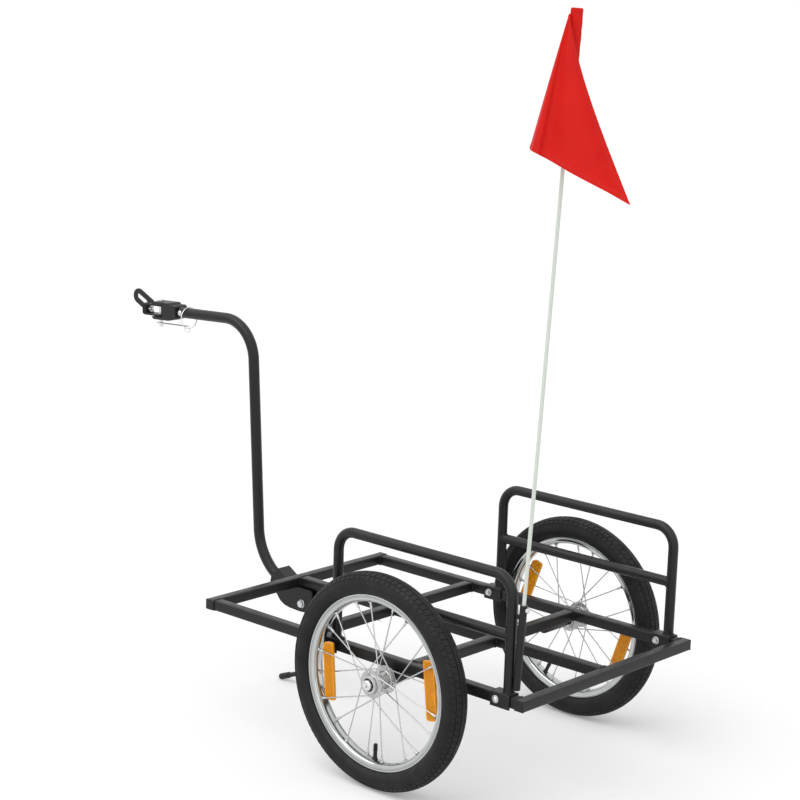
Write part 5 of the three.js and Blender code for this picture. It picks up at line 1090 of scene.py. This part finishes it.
def leg_welds(leg, y, foot, mid_z, way):
    """A ring round a leg's foot, and the line where the bar's circle meets the leg's: at each turn round
    the bar, it lies as far from the leg's middle as the circle is wide there."""
    circle = round_section(GUARD_RADIUS + LEG_WELD_GAP, 48)
    ring = np.stack([leg + circle[:, 0], y + circle[:, 1], np.full(48, foot + LEG_WELD_RISE)], -1)
    turn = np.linspace(0, 2 * np.pi, 48, endpoint=False)
    bulge = np.sqrt(np.cos(turn) ** 2 + 0.03)
    joint = (leg, y, mid_z) + GUARD_RADIUS * np.stack([way * bulge, np.sin(turn), np.cos(turn)], -1)
    return [weld(ring, Z_WAY), weld(joint, X_WAY)]


guard_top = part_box("left_guard")[1][2] - GUARD_RADIUS
foot = deck_high[2] + SADDLE_SHEET - LEG_SINK
mid_z = deck_high[2] + MID_BAR_ABOVE_DECK
for side, sign in SIDES.items():
    low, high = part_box(f"{side}_guard")
    width, y = high[1] - low[1], sign * rail_y
    legs = (low[0] + LEG_FRONT_INSET, high[0] - LEG_REAR_INSET)
    corners = [(legs[0], y, foot), (legs[0], y, guard_top), (legs[1], y, guard_top), (legs[1], y, foot)]
    routes = (bent_route(corners, [GUARD_BEND] * 2, 18), [(leg, y, mid_z) for leg in legs])
    outline = saddle_outline(width / 2, foot + LEG_SINK, low[2])
    channel = cut_plate(outline, 0, LEG_FRONT_INSET + LEG_REAR_INSET)
    saddles = [placed(channel, (leg - LEG_FRONT_INSET, y, 0), (Y_WAY, X_WAY, Z_WAY)) for leg in legs]
    beads = []
    for end, leg, way in (("front", legs[0], 1), ("rear", legs[1], -1)):
        beads += leg_welds(leg, y, foot, mid_z, way)
        node = f"{side}_{end}_guard_bolt"
        face = np.mean(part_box(node), 0) * (1, 0, 1) + (y + sign * width / 2) * Y_WAY
        make_piece(f"{side}_{end}_dome_bolt", "frame", ZINC, node, *dome_bolt(face, sign, width / MM),
                   crisp=30)
    make_piece(f"{side}_guard_tubes", "frame", PAINT, f"{side}_guard",
               *[carried(round_section(GUARD_RADIUS, 36), route, Y_WAY) for route in routes], crisp=30)
    round_edges(make_piece(f"{side}_guard_saddles", "frame", PAINT, None, *saddles), 0.5 * MM)
    make_piece(f"{side}_guard_welds", "frame", PAINT, None, *beads, crisp=60)
print("pieces so far:", len(finished))


# %% [markdown]
# ## The tow bar
# The bar is one bent tube. It turns on a hexagon bolt between the bracket's plates, and a sprung pin
# with a pull ring holds it. A wire ring is a round section carried along a circle in any two directions.

# %% Make the tow bar
BAR_RADIUS = 11 * MM
PIVOT = joint_places["tow_bar_fold"]
BAR_STEPS_MM = [(15, 0, -6), (-139, 0, 57), (-173, 0, 550), (-388, 0, 540)]
KNEE_BEND, ELBOW_BEND = 110 * MM, 80 * MM
BUSH_MM = mirrored([(6.5, 12.9), (6.2, 13.2), (4.2, 13.2)])
BRACKET_HALF_MM = 16.5
PIVOT_WASHER_MM = np.array([(4.1, 0), (8.3, 0), (8.5, 0.2), (8.5, 1), (8.3, 1.2), (4.1, 1.2)])
PIVOT_WASHER_THICK = 1.2 * MM
PIVOT_HEAD_MM, PIVOT_NUT_MM = (7.5, 0.5, 4.3), (7.5, 4.05, 4.3)
RING_WIRE = 0.9 * MM
KNOB_MM = [(0, 11.4), (1.6, 11.4), (2.9, 13), (3, 13.6), (3, 30.4), (3.4, 30.75), (4, 31.1), (4, 32.4),
           (3.5, 32.8), (3.5, 35.6), (4, 36), (4, 37.2), (3.6, 37.7), (0, 37.7)]
BRACKET_WELDS_MM = [[(-0.4, y, 4.5) for y in (-14, 14)],
                    *[[(x, way * (BRACKET_HALF_MM + 0.3), -0.3) for x in (2, 58)] for way in (-1, 1)]]


def wire_ring(node, wide_way, wire, first, second):
    """A closed round wire in the plane of two directions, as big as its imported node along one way."""
    low, high = np.array(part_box(node))
    radius = (high[wide_way] - low[wide_way]) / 2 - wire
    circle = round_section(radius, 72)
    route = (low + high) / 2 + circle[:, :1] * first + circle[:, 1:] * second
    return carried(round_section(wire, 14), route, np.cross(first, second), True)


bar_corners = PIVOT + np.array(BAR_STEPS_MM) * MM
BAR_TIP = bar_corners[-1]
bar_route = bent_route(bar_corners, [KNEE_BEND, ELBOW_BEND], 26)
make_piece("tow_bar_bent", "tow_bar", PAINT, "tow_bar",
           carried(round_section(BAR_RADIUS, 40), bar_route, Y_WAY), turned(BUSH_MM, PIVOT, Y_WAY, 32, True),
           crisp=30)

near_face, far_face = PIVOT - BRACKET_HALF_MM * MM * Y_WAY, PIVOT + BRACKET_HALF_MM * MM * Y_WAY
tail_start, tail_end = 2 * BRACKET_HALF_MM - 1, float(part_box("tow_pivot_bolt")[1][1] - near_face[1]) / MM
tail = thread(4, tail_start, tail_end - tail_start, M8_PITCH_MM)
shank = [(0, -3), (4, -3), *tail, (3.2, tail_end), (0, tail_end)]
make_piece("tow_pivot_hex_bolt", "frame", ZINC, "tow_pivot_bolt",
           hex_nut(*PIVOT_HEAD_MM, near_face - PIVOT_WASHER_THICK * Y_WAY, -Y_WAY),
           turned(shank, near_face, Y_WAY, 28),
           turned(PIVOT_WASHER_MM * (1, -1), near_face, Y_WAY, 36, True), crisp=30)
make_piece("tow_pivot_hex_nut", "frame", ZINC, "tow_pivot_nut",
           hex_nut(*PIVOT_NUT_MM, far_face + PIVOT_WASHER_THICK * Y_WAY, Y_WAY),
           turned(PIVOT_WASHER_MM, far_face, Y_WAY, 36, True), crisp=30)

plunger_at = np.mean(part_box("plunger_pin"), 0) * (1, 0, 1)
make_piece("plunger_turned", "plunger", BRIGHT, "plunger_pin", turned(KNOB_MM, plunger_at, Y_WAY, 32),
           crisp=30)
make_piece("pull_ring_round", "plunger", BRIGHT, "pull_ring",
           wire_ring("pull_ring", 0, RING_WIRE, X_WAY, Z_WAY))
bead_corner = (deck_low[0], 0, deck_low[2])
make_piece("bracket_welds", "frame", PAINT, None,
           *[weld(bead_corner + np.array(route) * MM, Z_WAY, False) for route in BRACKET_WELDS_MM], crisp=60)
print("tow bar done")


# %% [markdown]
# ## The hitch
# The hitch has its own directions: X runs along the tow bar's end towards the bicycle, Z is the hitch
# pin's axis. They come from the two joints, so every piece below is written in the hitch's own numbers.
# The eye is a slotted plate on a folded tab, and a plate with a hole is a band of four loops.

# %% Make the hitch's eye
HITCH_X, HITCH_Z = unit(joints["hitch_roll"]["axis"]), unit(joints["hitch_yaw"]["axis"])
HITCH_WAYS = np.stack([HITCH_X, np.cross(HITCH_Z, HITCH_X), HITCH_Z])
EYE_TILT = math.radians(28)
EYE_ROOT = 107 * MM
EYE_REACH = 62 * MM
EYE_HALF_WIDTH = 16 * MM
EYE_HEEL = 1.5 * MM
SLOT_HALF_WIDTH = 5.2 * MM
SLOT_LENGTH = 36 * MM
EYE_LOW, EYE_HIGH = -15 * MM, -11 * MM
TAB_HALF_HEIGHT, TAB_FAR = 12 * MM, 12 * MM
TAB_CORNER = 4 * MM
TAB_X = (105 * MM, 109 * MM)
TAB_HOLE = 4.3 * MM


def hitch_piece(name, body, finish, node, *shells, crisp=35):
    """A piece whose shells are moved from the hitch's own directions to the trailer's."""
    return make_piece(name, body, finish, node, *[placed(shell, BAR_TIP, HITCH_WAYS) for shell in shells],
                      crisp=crisp)


def plate_with_hole(outer, inner, low, high, count=112):
    """Both outlines are divided into the same number of equal steps, each from its point with the most
    X, and joined as a band of four loops."""
    loops = []
    for outline in (outer, inner):
        room = standing(np.roll(outline, -int(np.argmax(outline[:, 0])), 0), 0)
        total = np.linalg.norm(np.roll(room, -1, 0) - room, axis=1).sum()
        loops.append(evenly(room, total / count, True)[:count, [0, 2]])
    rings = [standing(loop, y) for loop, y in zip((loops[0], *loops, loops[1]), (low, high, high, low))]
    return np.concatenate(rings), [grid_faces(4, count, True, True)]


def stadium(reach_back, reach_ahead, half_width, steps=20):
    """Two half circles joined by straight sides; their centres lie at the two reaches."""
    sweep = np.linspace(-np.pi / 2, np.pi / 2, steps)
    half_circle = half_width * np.stack([np.cos(sweep), np.sin(sweep)], -1)
    return np.concatenate([(reach_ahead, 0) + half_circle, (reach_back, 0) - half_circle])


slot_middle = EYE_REACH - SLOT_LENGTH / 2 - (EYE_HALF_WIDTH - SLOT_HALF_WIDTH)
slot_reach = SLOT_LENGTH / 2 - SLOT_HALF_WIDTH
eye_outline = stadium(EYE_HALF_WIDTH * 0.3, EYE_REACH - EYE_HALF_WIDTH, EYE_HALF_WIDTH)
eye_outline[:, 0] = np.maximum(eye_outline[:, 0], -EYE_HEEL)
slot_outline = stadium(slot_middle - slot_reach, slot_middle + slot_reach, SLOT_HALF_WIDTH)
rise, reach = math.sin(EYE_TILT), math.cos(EYE_TILT)
eye = placed(plate_with_hole(eye_outline, slot_outline, EYE_LOW, EYE_HIGH), EYE_ROOT * X_WAY,
             ((reach, 0, rise), Y_WAY, (-rise, 0, reach)))
tab_middle = ((EYE_LOW + TAB_FAR) / 2, 0)
tab_outline = tab_middle + square_section(TAB_FAR - EYE_LOW, 2 * TAB_HALF_HEIGHT, TAB_CORNER)
tab_plate = plate_with_hole(tab_outline, round_section(TAB_HOLE, 40), *TAB_X)
tab = placed(tab_plate, (0, 0, 0), (Y_WAY, X_WAY, Z_WAY))
round_edges(hitch_piece("axle_eye_slotted", "axle_eye", PAINT, "axle_eye_plate", eye, tab), 0.5 * MM)
print("hitch origin:", BAR_TIP)


# %% [markdown]
# ## The hitch's bolts and its clip
# The eye turns on a swivel bolt, a small bolt clamps the moulded block to the bar, and a spring wire
# clip keeps the hitch pin in. The clip is one wire: straight through the pin, once round as a spring,
# and back beside itself. It hangs on a ring round the bar.

# %% Make the hitch's bolts and its clip
SWIVEL_WASHER_MM = [(4.1, 103.3), (8.8, 103.3), (9, 103.5), (9, 104.7), (8.8, 104.9), (4.1, 104.9)]
SWIVEL_SHANK_MM = [(0, 89.2), (3.2, 89.2), *thread(4, 89.6, 11, M8_PITCH_MM), (4, 102), (4, 113), (0, 113)]
SWIVEL_HEAD_MM, SWIVEL_NUT_MM = (7.5, 0.5, 5.5), (7.3, 4.05, 6.5)
SWIVEL_HEAD_AT, SWIVEL_NUT_AT = 109.1 * MM * X_WAY, 92.2 * MM * X_WAY
CLAMP_NUT_MM = (6, 0.5, 3.4)
CLAMP_DOME_SHARES = (1.06, 0.86)
CLAMP_AT = -8 * MM * X_WAY
CLAMP_FACE = 11.1 * MM * Y_WAY
CLAMP_SHANK_MM = [(0, -12.5), (3, -12.5), (3, 12.5), (0, 12.5)]
PIN_AHEAD = 63 * MM
CLIP_WIRE = 1.1 * MM
CLIP_Z = -27.5 * MM
CLIP_FREE_END, CLIP_FLARE = 14 * MM, 7 * MM
CLIP_SPREAD = 6 * MM
COIL_X = -22 * MM
COIL_RADIUS = 6.5 * MM

hitch_piece("swivel_hex_bolt", "axle_eye", ZINC, "swivel_bolt",
            hex_nut(*SWIVEL_HEAD_MM, SWIVEL_HEAD_AT, X_WAY), turned(SWIVEL_SHANK_MM, (0, 0, 0), X_WAY, 28),
            turned(SWIVEL_WASHER_MM, (0, 0, 0), X_WAY, 40, True), crisp=30)
hitch_piece("swivel_hex_nut", "axle_eye", ZINC, "swivel_nut", hex_nut(*SWIVEL_NUT_MM, SWIVEL_NUT_AT, X_WAY),
            crisp=30)
hitch_piece("hitch_clamp_dome", "tow_bar", ZINC, "hitch_clamp_bolt",
            turned(DOME_MM[::-1] * CLAMP_DOME_SHARES, CLAMP_AT + CLAMP_FACE, Y_WAY, 32),
            hex_nut(*CLAMP_NUT_MM, CLAMP_AT - CLAMP_FACE, -Y_WAY),
            turned(CLAMP_SHANK_MM, CLAMP_AT, Y_WAY, 24), crisp=30)

coil_turn = np.linspace(np.pi / 2, 5 * np.pi / 2, 40)
coil_advance = CLIP_SPREAD * (coil_turn - np.pi / 2) / (2 * np.pi)
coil = np.stack([COIL_X + COIL_RADIUS * np.cos(coil_turn), coil_advance,
                 CLIP_Z - COIL_RADIUS + COIL_RADIUS * np.sin(coil_turn)], -1)
clip_route = [(PIN_AHEAD + CLIP_FREE_END, 0, CLIP_Z), (0, 0, CLIP_Z), *coil, (0, CLIP_SPREAD, CLIP_Z),
              (PIN_AHEAD, CLIP_SPREAD, CLIP_Z), (PIN_AHEAD + CLIP_FLARE, CLIP_SPREAD + CLIP_WIRE, CLIP_Z)]
hitch_piece("safety_clip_wire", "safety_clip", BRIGHT, "safety_clip",
            carried(round_section(CLIP_WIRE, 14), clip_route, Y_WAY))
make_piece("clip_ring_round", "safety_clip", BRIGHT, "clip_ring",
           wire_ring("clip_ring", 1, CLIP_WIRE, *HITCH_WAYS[1:]))
print("pieces so far:", len(finished))


# %% [markdown]
# ## The kickstand
# A bent rod with a boss turns on a pin between two plates. Its rubber foot is a sleeve with grip rings,
# so its profile steps in and out three times.

# %% Make the kickstand
KICK = joint_places["kickstand_fold"]
KICK_ROD = 5 * MM
KICK_ROD_START = 4.25 * MM
KICK_HEEL = np.array([KICK[0] - 52 * MM, 0, 30 * MM])
KICK_FOOT = KICK_HEEL + (-62 * MM, 0, -23.5 * MM)
KICK_BEND = 28 * MM
KICK_BOSS_MM = mirrored([(8.5, 4.6), (8.1, 5), (3.2, 5)])
KICK_PIN_MM = mirrored([(0, 11.4), (3.6, 11.3), (4.8, 10.6), (5, 9.8), (5, 8.4), (3, 8.4)])
GRIP_RINGS = [(6.3 - dip, top - drop) for top in (-3.4, -8.9, -14.4)
              for dip, drop in ((0, 0), (0.5, 0.5), (0.5, 1.5), (0, 2))]
FOOT_MM = [(0, 6.4), (2.4, 6), (4.4, 4.8), (5.8, 2.8), (6.3, 0.6), *GRIP_RINGS, (6.4, -23), (6, -24),
           (5.2, -24), (5.2, -20), (0, -20)]
start = KICK + unit(KICK_HEEL - KICK) * KICK_ROD_START
leg_route = bent_route([start, KICK_HEEL, KICK_FOOT], [KICK_BEND])
make_piece("kickstand_rod", "kickstand", PAINT, "kickstand_leg",
           carried(round_section(KICK_ROD), leg_route, Y_WAY), turned(KICK_BOSS_MM, KICK, Y_WAY, looped=True),
           crisp=30)
make_piece("kickstand_rubber_foot", "kickstand", PLASTIC, "kickstand_foot",
           turned(FOOT_MM, KICK_FOOT, KICK_FOOT - KICK_HEEL), crisp=30)
make_piece("kickstand_rivet", "frame", ZINC, "kickstand_pin",
           turned(KICK_PIN_MM, KICK, Y_WAY, 32), crisp=30)
print("kickstand done")


# %% [markdown]
# ## The flag's mast
# The socket is a short tube on two webs, with a knurled screw that grips the pole. Socket and pole lean
# back together by three degrees, so both are turned round one slanted line.

# %% Make the mast
SOCKET_LOW, SOCKET_HIGH = 12 * MM, 164 * MM
SCREW_RISE = 156 * MM
SOCKET_MM = [(0, 5), (3.9, 5), (3.9, 151.6), (4.3, 152.2), (6.1, 152.2), (6.5, 151.7), (6.5, 0.6), (6, 0),
             (0, 0)]
SCREW_MM = [(0, 3.8), (2.9, 3.8), (2.9, 7.2), (4.2, 7.2), (4.6, 7.6), (4.6, 11.3), (4.2, 11.8), (0, 11.8)]
SCREW_RIBS, SCREW_PULL = 16, 0.06
WEB_SHARES = (0.15, 0.85)
WEB_GAPS = (8.5 * MM, 5 * MM)
WEB_THICK, WEB_HEIGHT, WEB_CORNER = 4 * MM, 8 * MM, 1 * MM
POLE_RADIUS_MM = 3.4
POLE_LEAN = math.atan(60 / 1140)
pole_inset = POLE_RADIUS_MM * MM * np.array([math.cos(POLE_LEAN), 1, math.sin(POLE_LEAN)])
pole_foot, pole_head = np.array(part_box("flag_pole")) + (pole_inset, -pole_inset)
POLE_WAY = unit(pole_head - pole_foot)
POLE_TOP = float(pole_head[2])


def pole_at(height):
    """The pole is straight, so its place goes evenly with the height."""
    share = (np.asarray(height, float) - pole_foot[2]) / (pole_head[2] - pole_foot[2])
    return pole_foot + share[..., None] * (pole_head - pole_foot)


leg_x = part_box("left_guard")[1][0] - LEG_REAR_INSET
webs = []
for share in WEB_SHARES:
    middle = pole_at(deck_high[2] + SOCKET_LOW + share * (SOCKET_HIGH - SOCKET_LOW))
    route = [(leg_x + WEB_GAPS[0], middle[1], middle[2]), middle - WEB_GAPS[1] * X_WAY]
    webs.append(carried(square_section(WEB_THICK, WEB_HEIGHT, WEB_CORNER), route, Y_WAY))
socket = turned(SOCKET_MM, pole_at(deck_high[2] + SOCKET_LOW), POLE_WAY)
make_piece("flag_socket_tube", "frame", PAINT, "flag_socket", socket, *webs, crisp=30)
screw = ribbed(SCREW_MM, pole_at(deck_high[2] + SCREW_RISE), X_WAY, SCREW_RIBS, SCREW_PULL)
make_piece("flag_thumb_screw", "frame", ZINC, "flag_clamp_screw", screw, crisp=30)
length = float(np.linalg.norm(pole_head - pole_foot)) / MM
ends = [(0, 0), (POLE_RADIUS_MM - 0.4, 0), (POLE_RADIUS_MM, 0.4)]
pole = turned([*ends, *[(radius, length - rise) for radius, rise in ends[::-1]]], pole_foot, POLE_WAY, 32)
make_piece("flag_pole_round", "flag_mast", POLE, "flag_pole", pole, crisp=40)
print("pole top:", POLE_TOP)


# %% [markdown]
# ## The pennant
# A hanging pennant bends but doesn't stretch, so it is part of a cone: straight lines run from its top
# corner, and neighbouring lines keep the angle that they have in the flat triangle. A smooth curve through a
# few given shares says how the lines turn.

# %% Shape the cloth
FLAG_HOIST = 230 * MM
FLAG_LEADING = 326 * MM
FLAG_START = 8 * MM
FLAG_TURN = math.radians(42)
SEAM_TURN = math.radians(76)
SEAM_REACH = 10.4 * MM
FLAG_BOW = 13 * MM
HEM_WIDTH = 8 * MM
PUCKER, PUCKER_LENGTH = 0.28 * MM, 11 * MM
FOLD_SHARES = np.array([(0, 0), (-0.08, -0.07), (-0.15, -0.1), (-0.19, -0.07), (-0.205, 0.01), (-0.19, 0.085),
                        (-0.15, 0.115), (-0.1, 0.1), (-0.04, 0.12), (0.06, 0.2), (0.17, 0.265), (0.27, 0.285),
                        (0.375, 0.37)])


def smooth_curve(knots, count):
    """Catmull-Rom: between two knots, a cubic whose slope at each knot is half the step past it."""
    knots = np.concatenate([[2 * knots[0] - knots[1]], knots, [2 * knots[-1] - knots[-2]]])
    place = np.linspace(0, len(knots) - 3 - 1e-9, count)
    base = place.astype(int)
    share = (place - base)[:, None]
    a, b, c, d = (knots[base + shift] for shift in range(4))
    return b + share / 2 * (c - a + share * (2 * a - 5 * b + 4 * c - d + share * (3 * (b - c) + d - a)))


hoist_top = pole_at(POLE_TOP)
straight_down = unit(pole_at(POLE_TOP - FLAG_HOIST) - hoist_top)
along_view = np.array([math.cos(FLAG_TURN), math.sin(FLAG_TURN), 0])
toward_view = np.array([math.sin(FLAG_TURN), -math.cos(FLAG_TURN), 0])
apex = hoist_top + SEAM_REACH * (toward_view * math.cos(SEAM_TURN) - along_view * math.sin(SEAM_TURN))
folds = smooth_curve(FOLD_SHARES, 320)
lines = unit(straight_down + folds[:, :1] * along_view + folds[:, 1:] * toward_view)
line_turns = np.concatenate([[0], np.cumsum(np.arccos(np.clip((lines[1:] * lines[:-1]).sum(-1), -1, 1)))])
line_normals = unit(np.cross(np.gradient(lines, axis=0), lines))
WHOLE_TURN = line_turns[-1]
TIP = FLAG_LEADING * np.array([math.sin(WHOLE_TURN), math.cos(WHOLE_TURN)])
FOOT, HEAD = np.array([0, FLAG_HOIST]), np.zeros(2)


def edge_distance(flat, start, end=TIP):
    """How far flat points lie from the line through two corners."""
    way = unit(end - start)
    return np.abs((flat[..., 0] - start[0]) * way[1] - (flat[..., 1] - start[1]) * way[0])


def on_flag(flat, lift=0.0):
    """A flat point's distance from the top corner and its angle pick a line of the cone and a place on
    it; lift moves it along the cloth's normal, and near the hems the cloth puckers in short waves. The
    cloth's own weight bows its leading edge in, most a third of the way down."""
    reach = np.hypot(flat[..., 0], flat[..., 1])
    turn = np.arctan2(flat[..., 0], flat[..., 1])
    bow = FLAG_BOW * (turn / WHOLE_TURN) ** 2 * np.sin(np.pi * (reach / FLAG_LEADING).clip(0, 1) ** 0.7)
    way, normal = (unit(np.stack([np.interp(turn, line_turns, table[:, axis]) for axis in range(3)], -1))
                   for table in (lines, line_normals))
    wave = sum(np.sin(flat @ unit(TIP - start) * 2 * np.pi / PUCKER_LENGTH)
               * np.exp(-(edge_distance(flat, start) / HEM_WIDTH) ** 2) for start in (FOOT, HEAD))
    lifted = normal * (PUCKER * wave + lift)[..., None]
    return apex + way * reach[..., None] + lifted - along_view * bow[..., None]


print("the pennant's lines turn by, in degrees:", round(math.degrees(WHOLE_TURN), 1))


# %% [markdown]
# ## Cutting and sewing the pennant
# The flat triangle also gives the weave's map, the hems and the places of the stitches. Cloth has two
# faces, so both are made from the same flat points, lifted by half its thickness, which grows over the
# hems. Each stitch is a short thread that dives into the cloth at both ends. The sleeve round the pole
# ripples a little on its way up, is thicker at its hem and draws in at the top.

# %% Make the pennant
CLOTH = 0.34 * MM
HEM_RISE = 0.3 * MM
HEM_STEP = 0.8 * MM
STITCH_STEP, STITCH_LENGTH, STITCH_RADIUS = 3.4 * MM, 2.3 * MM, 0.28 * MM
STITCH_INSET = HEM_WIDTH - 2 * MM
STITCH_ENDS = (14 * MM, 12 * MM)
SLEEVE_HALF = (10.6 * MM, 5.0 * MM)
SLEEVE_ENDS = (3 * MM, 1.8 * MM)
SLEEVE_RIPPLE, SLEEVE_HEM, SLEEVE_CLOSE = 0.03, 0.04, 0.12

turns = np.linspace(0, 1, 190) * WHOLE_TURN
reaches = FLAG_HOIST * TIP[0] / (TIP[0] * np.cos(turns) + (FLAG_HOIST - TIP[1]) * np.sin(turns))
shares = np.concatenate([np.linspace(0, 0.93, 56)[:-1], np.linspace(0.93, 1, 18)])
distance = FLAG_START + (reaches - FLAG_START)[:, None] * shares
flat = distance[..., None] * np.stack([np.sin(turns), np.cos(turns)], -1)[:, None]
edge = np.minimum(edge_distance(flat, FOOT), edge_distance(flat, HEAD))
half_thick = CLOTH / 2 + HEM_RISE * np.clip((HEM_WIDTH - edge) / HEM_STEP + 0.5, 0, 1)
loops = np.concatenate([on_flag(flat, half_thick), on_flag(flat, -half_thick)[:, ::-1]], 1)
flag_map = np.concatenate([flat, flat[:, ::-1]], 1).reshape(-1, 2)
columns = loops.shape[1]
first = np.arange(len(shares) - 1)
cap = np.stack([first, first + 1, columns - 2 - first, columns - 1 - first], -1)
flag_faces = [grid_faces(len(turns), columns, False, True), cap, cap[:, ::-1] + (len(turns) - 1) * columns]
flag_piece = make_piece("pennant", "flag_mast", NYLON, "flag", (loops.reshape(-1, 3), flag_faces), crisp=70,
                        flat_map=flag_map)


def stitches(start):
    """Short threads at even steps on a line inside the edge from a corner to the tip, on both faces."""
    length = np.linalg.norm(TIP - start)
    way = unit(TIP - start)
    inward = np.array([way[1], -way[0]])
    inward = inward * np.sign(((FOOT + TIP) / 3 - start) @ inward) * STITCH_INSET
    along = np.linspace(-0.5, 0.5, 4)[:, None] * STITCH_LENGTH
    shells = []
    for place in np.arange(STITCH_ENDS[0], length - STITCH_ENDS[1], STITCH_STEP):
        for face in (-1, 1):
            lift = face * (CLOTH / 2 + HEM_RISE + STITCH_RADIUS * np.array([-0.4, 0.5, 0.5, -0.4]))
            route = on_flag(start + way * (place + along) + inward, lift)
            across = unit(route[-1] - route[0])[[1, 2, 0]]
            shells.append(carried(round_section(STITCH_RADIUS, 6), route, across))
    return shells


sewn = stitches(FOOT) + stitches(HEAD)
hem_stitches = make_piece("pennant_stitches", "flag_mast", THREAD, None, *sewn, crisp=60)

heights = np.linspace(POLE_TOP - FLAG_HOIST + SLEEVE_ENDS[0], POLE_TOP + SLEEVE_ENDS[1], 90)
share = (heights - heights[0]) / (heights[-1] - heights[0])
swell = 1 - SLEEVE_RIPPLE + SLEEVE_RIPPLE * np.sin(share * 41) * np.sin(share * 17 + 1)
swell += SLEEVE_HEM * np.exp(-((share - 0.02) / 0.012) ** 2)
swell -= SLEEVE_CLOSE * np.maximum(0, (share - 0.98) / 0.02) ** 2
sleeve = carried(round_section(1, 32) * SLEEVE_HALF, pole_at(heights), along_view, swell=swell)
from_pole = (sleeve[0] - pole_at(sleeve[0][:, 2])) @ np.stack([along_view, toward_view], -1)
round_way = np.arctan2(from_pole[:, 1], from_pole[:, 0]) * sum(SLEEVE_HALF) / 2
sleeve_piece = make_piece("pennant_sleeve", "flag_mast", NYLON, "flag_sleeve", sleeve, crisp=50,
                          flat_map=np.stack([round_way, sleeve[0][:, 2]], -1))


# %% [markdown]
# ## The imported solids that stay
# These solids already have their true shape. Each gets its finish through its object's own slot, and a
# small bevel that catches the light.

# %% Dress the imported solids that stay
KEPT = {"tow_bar_bracket": (PAINT, 0.6), "hitch_block": (PLASTIC, 1.3), "hitch_yoke": (PAINT, 0.7),
        "hitch_pin": (BRIGHT, 0.5), "kickstand_bracket": (PAINT, 0.5), "kickstand_clip": (BRIGHT, 0.25)}
for side in SIDES:
    for number, end in enumerate(("front", "rear"), 1):
        KEPT[f"{end}_{side}_tube_plug"] = (PLASTIC, 0.8)
        KEPT[f"{side}_reflector_{number}"] = (AMBER, 0.7)
for name, (finish, width) in KEPT.items():
    node = frame["nodes"][name]
    for slot in node.material_slots:
        slot.link = "OBJECT"
        slot.material = finish[0]
    round_edges(node, width * MM)
print("solids kept:", len(KEPT))
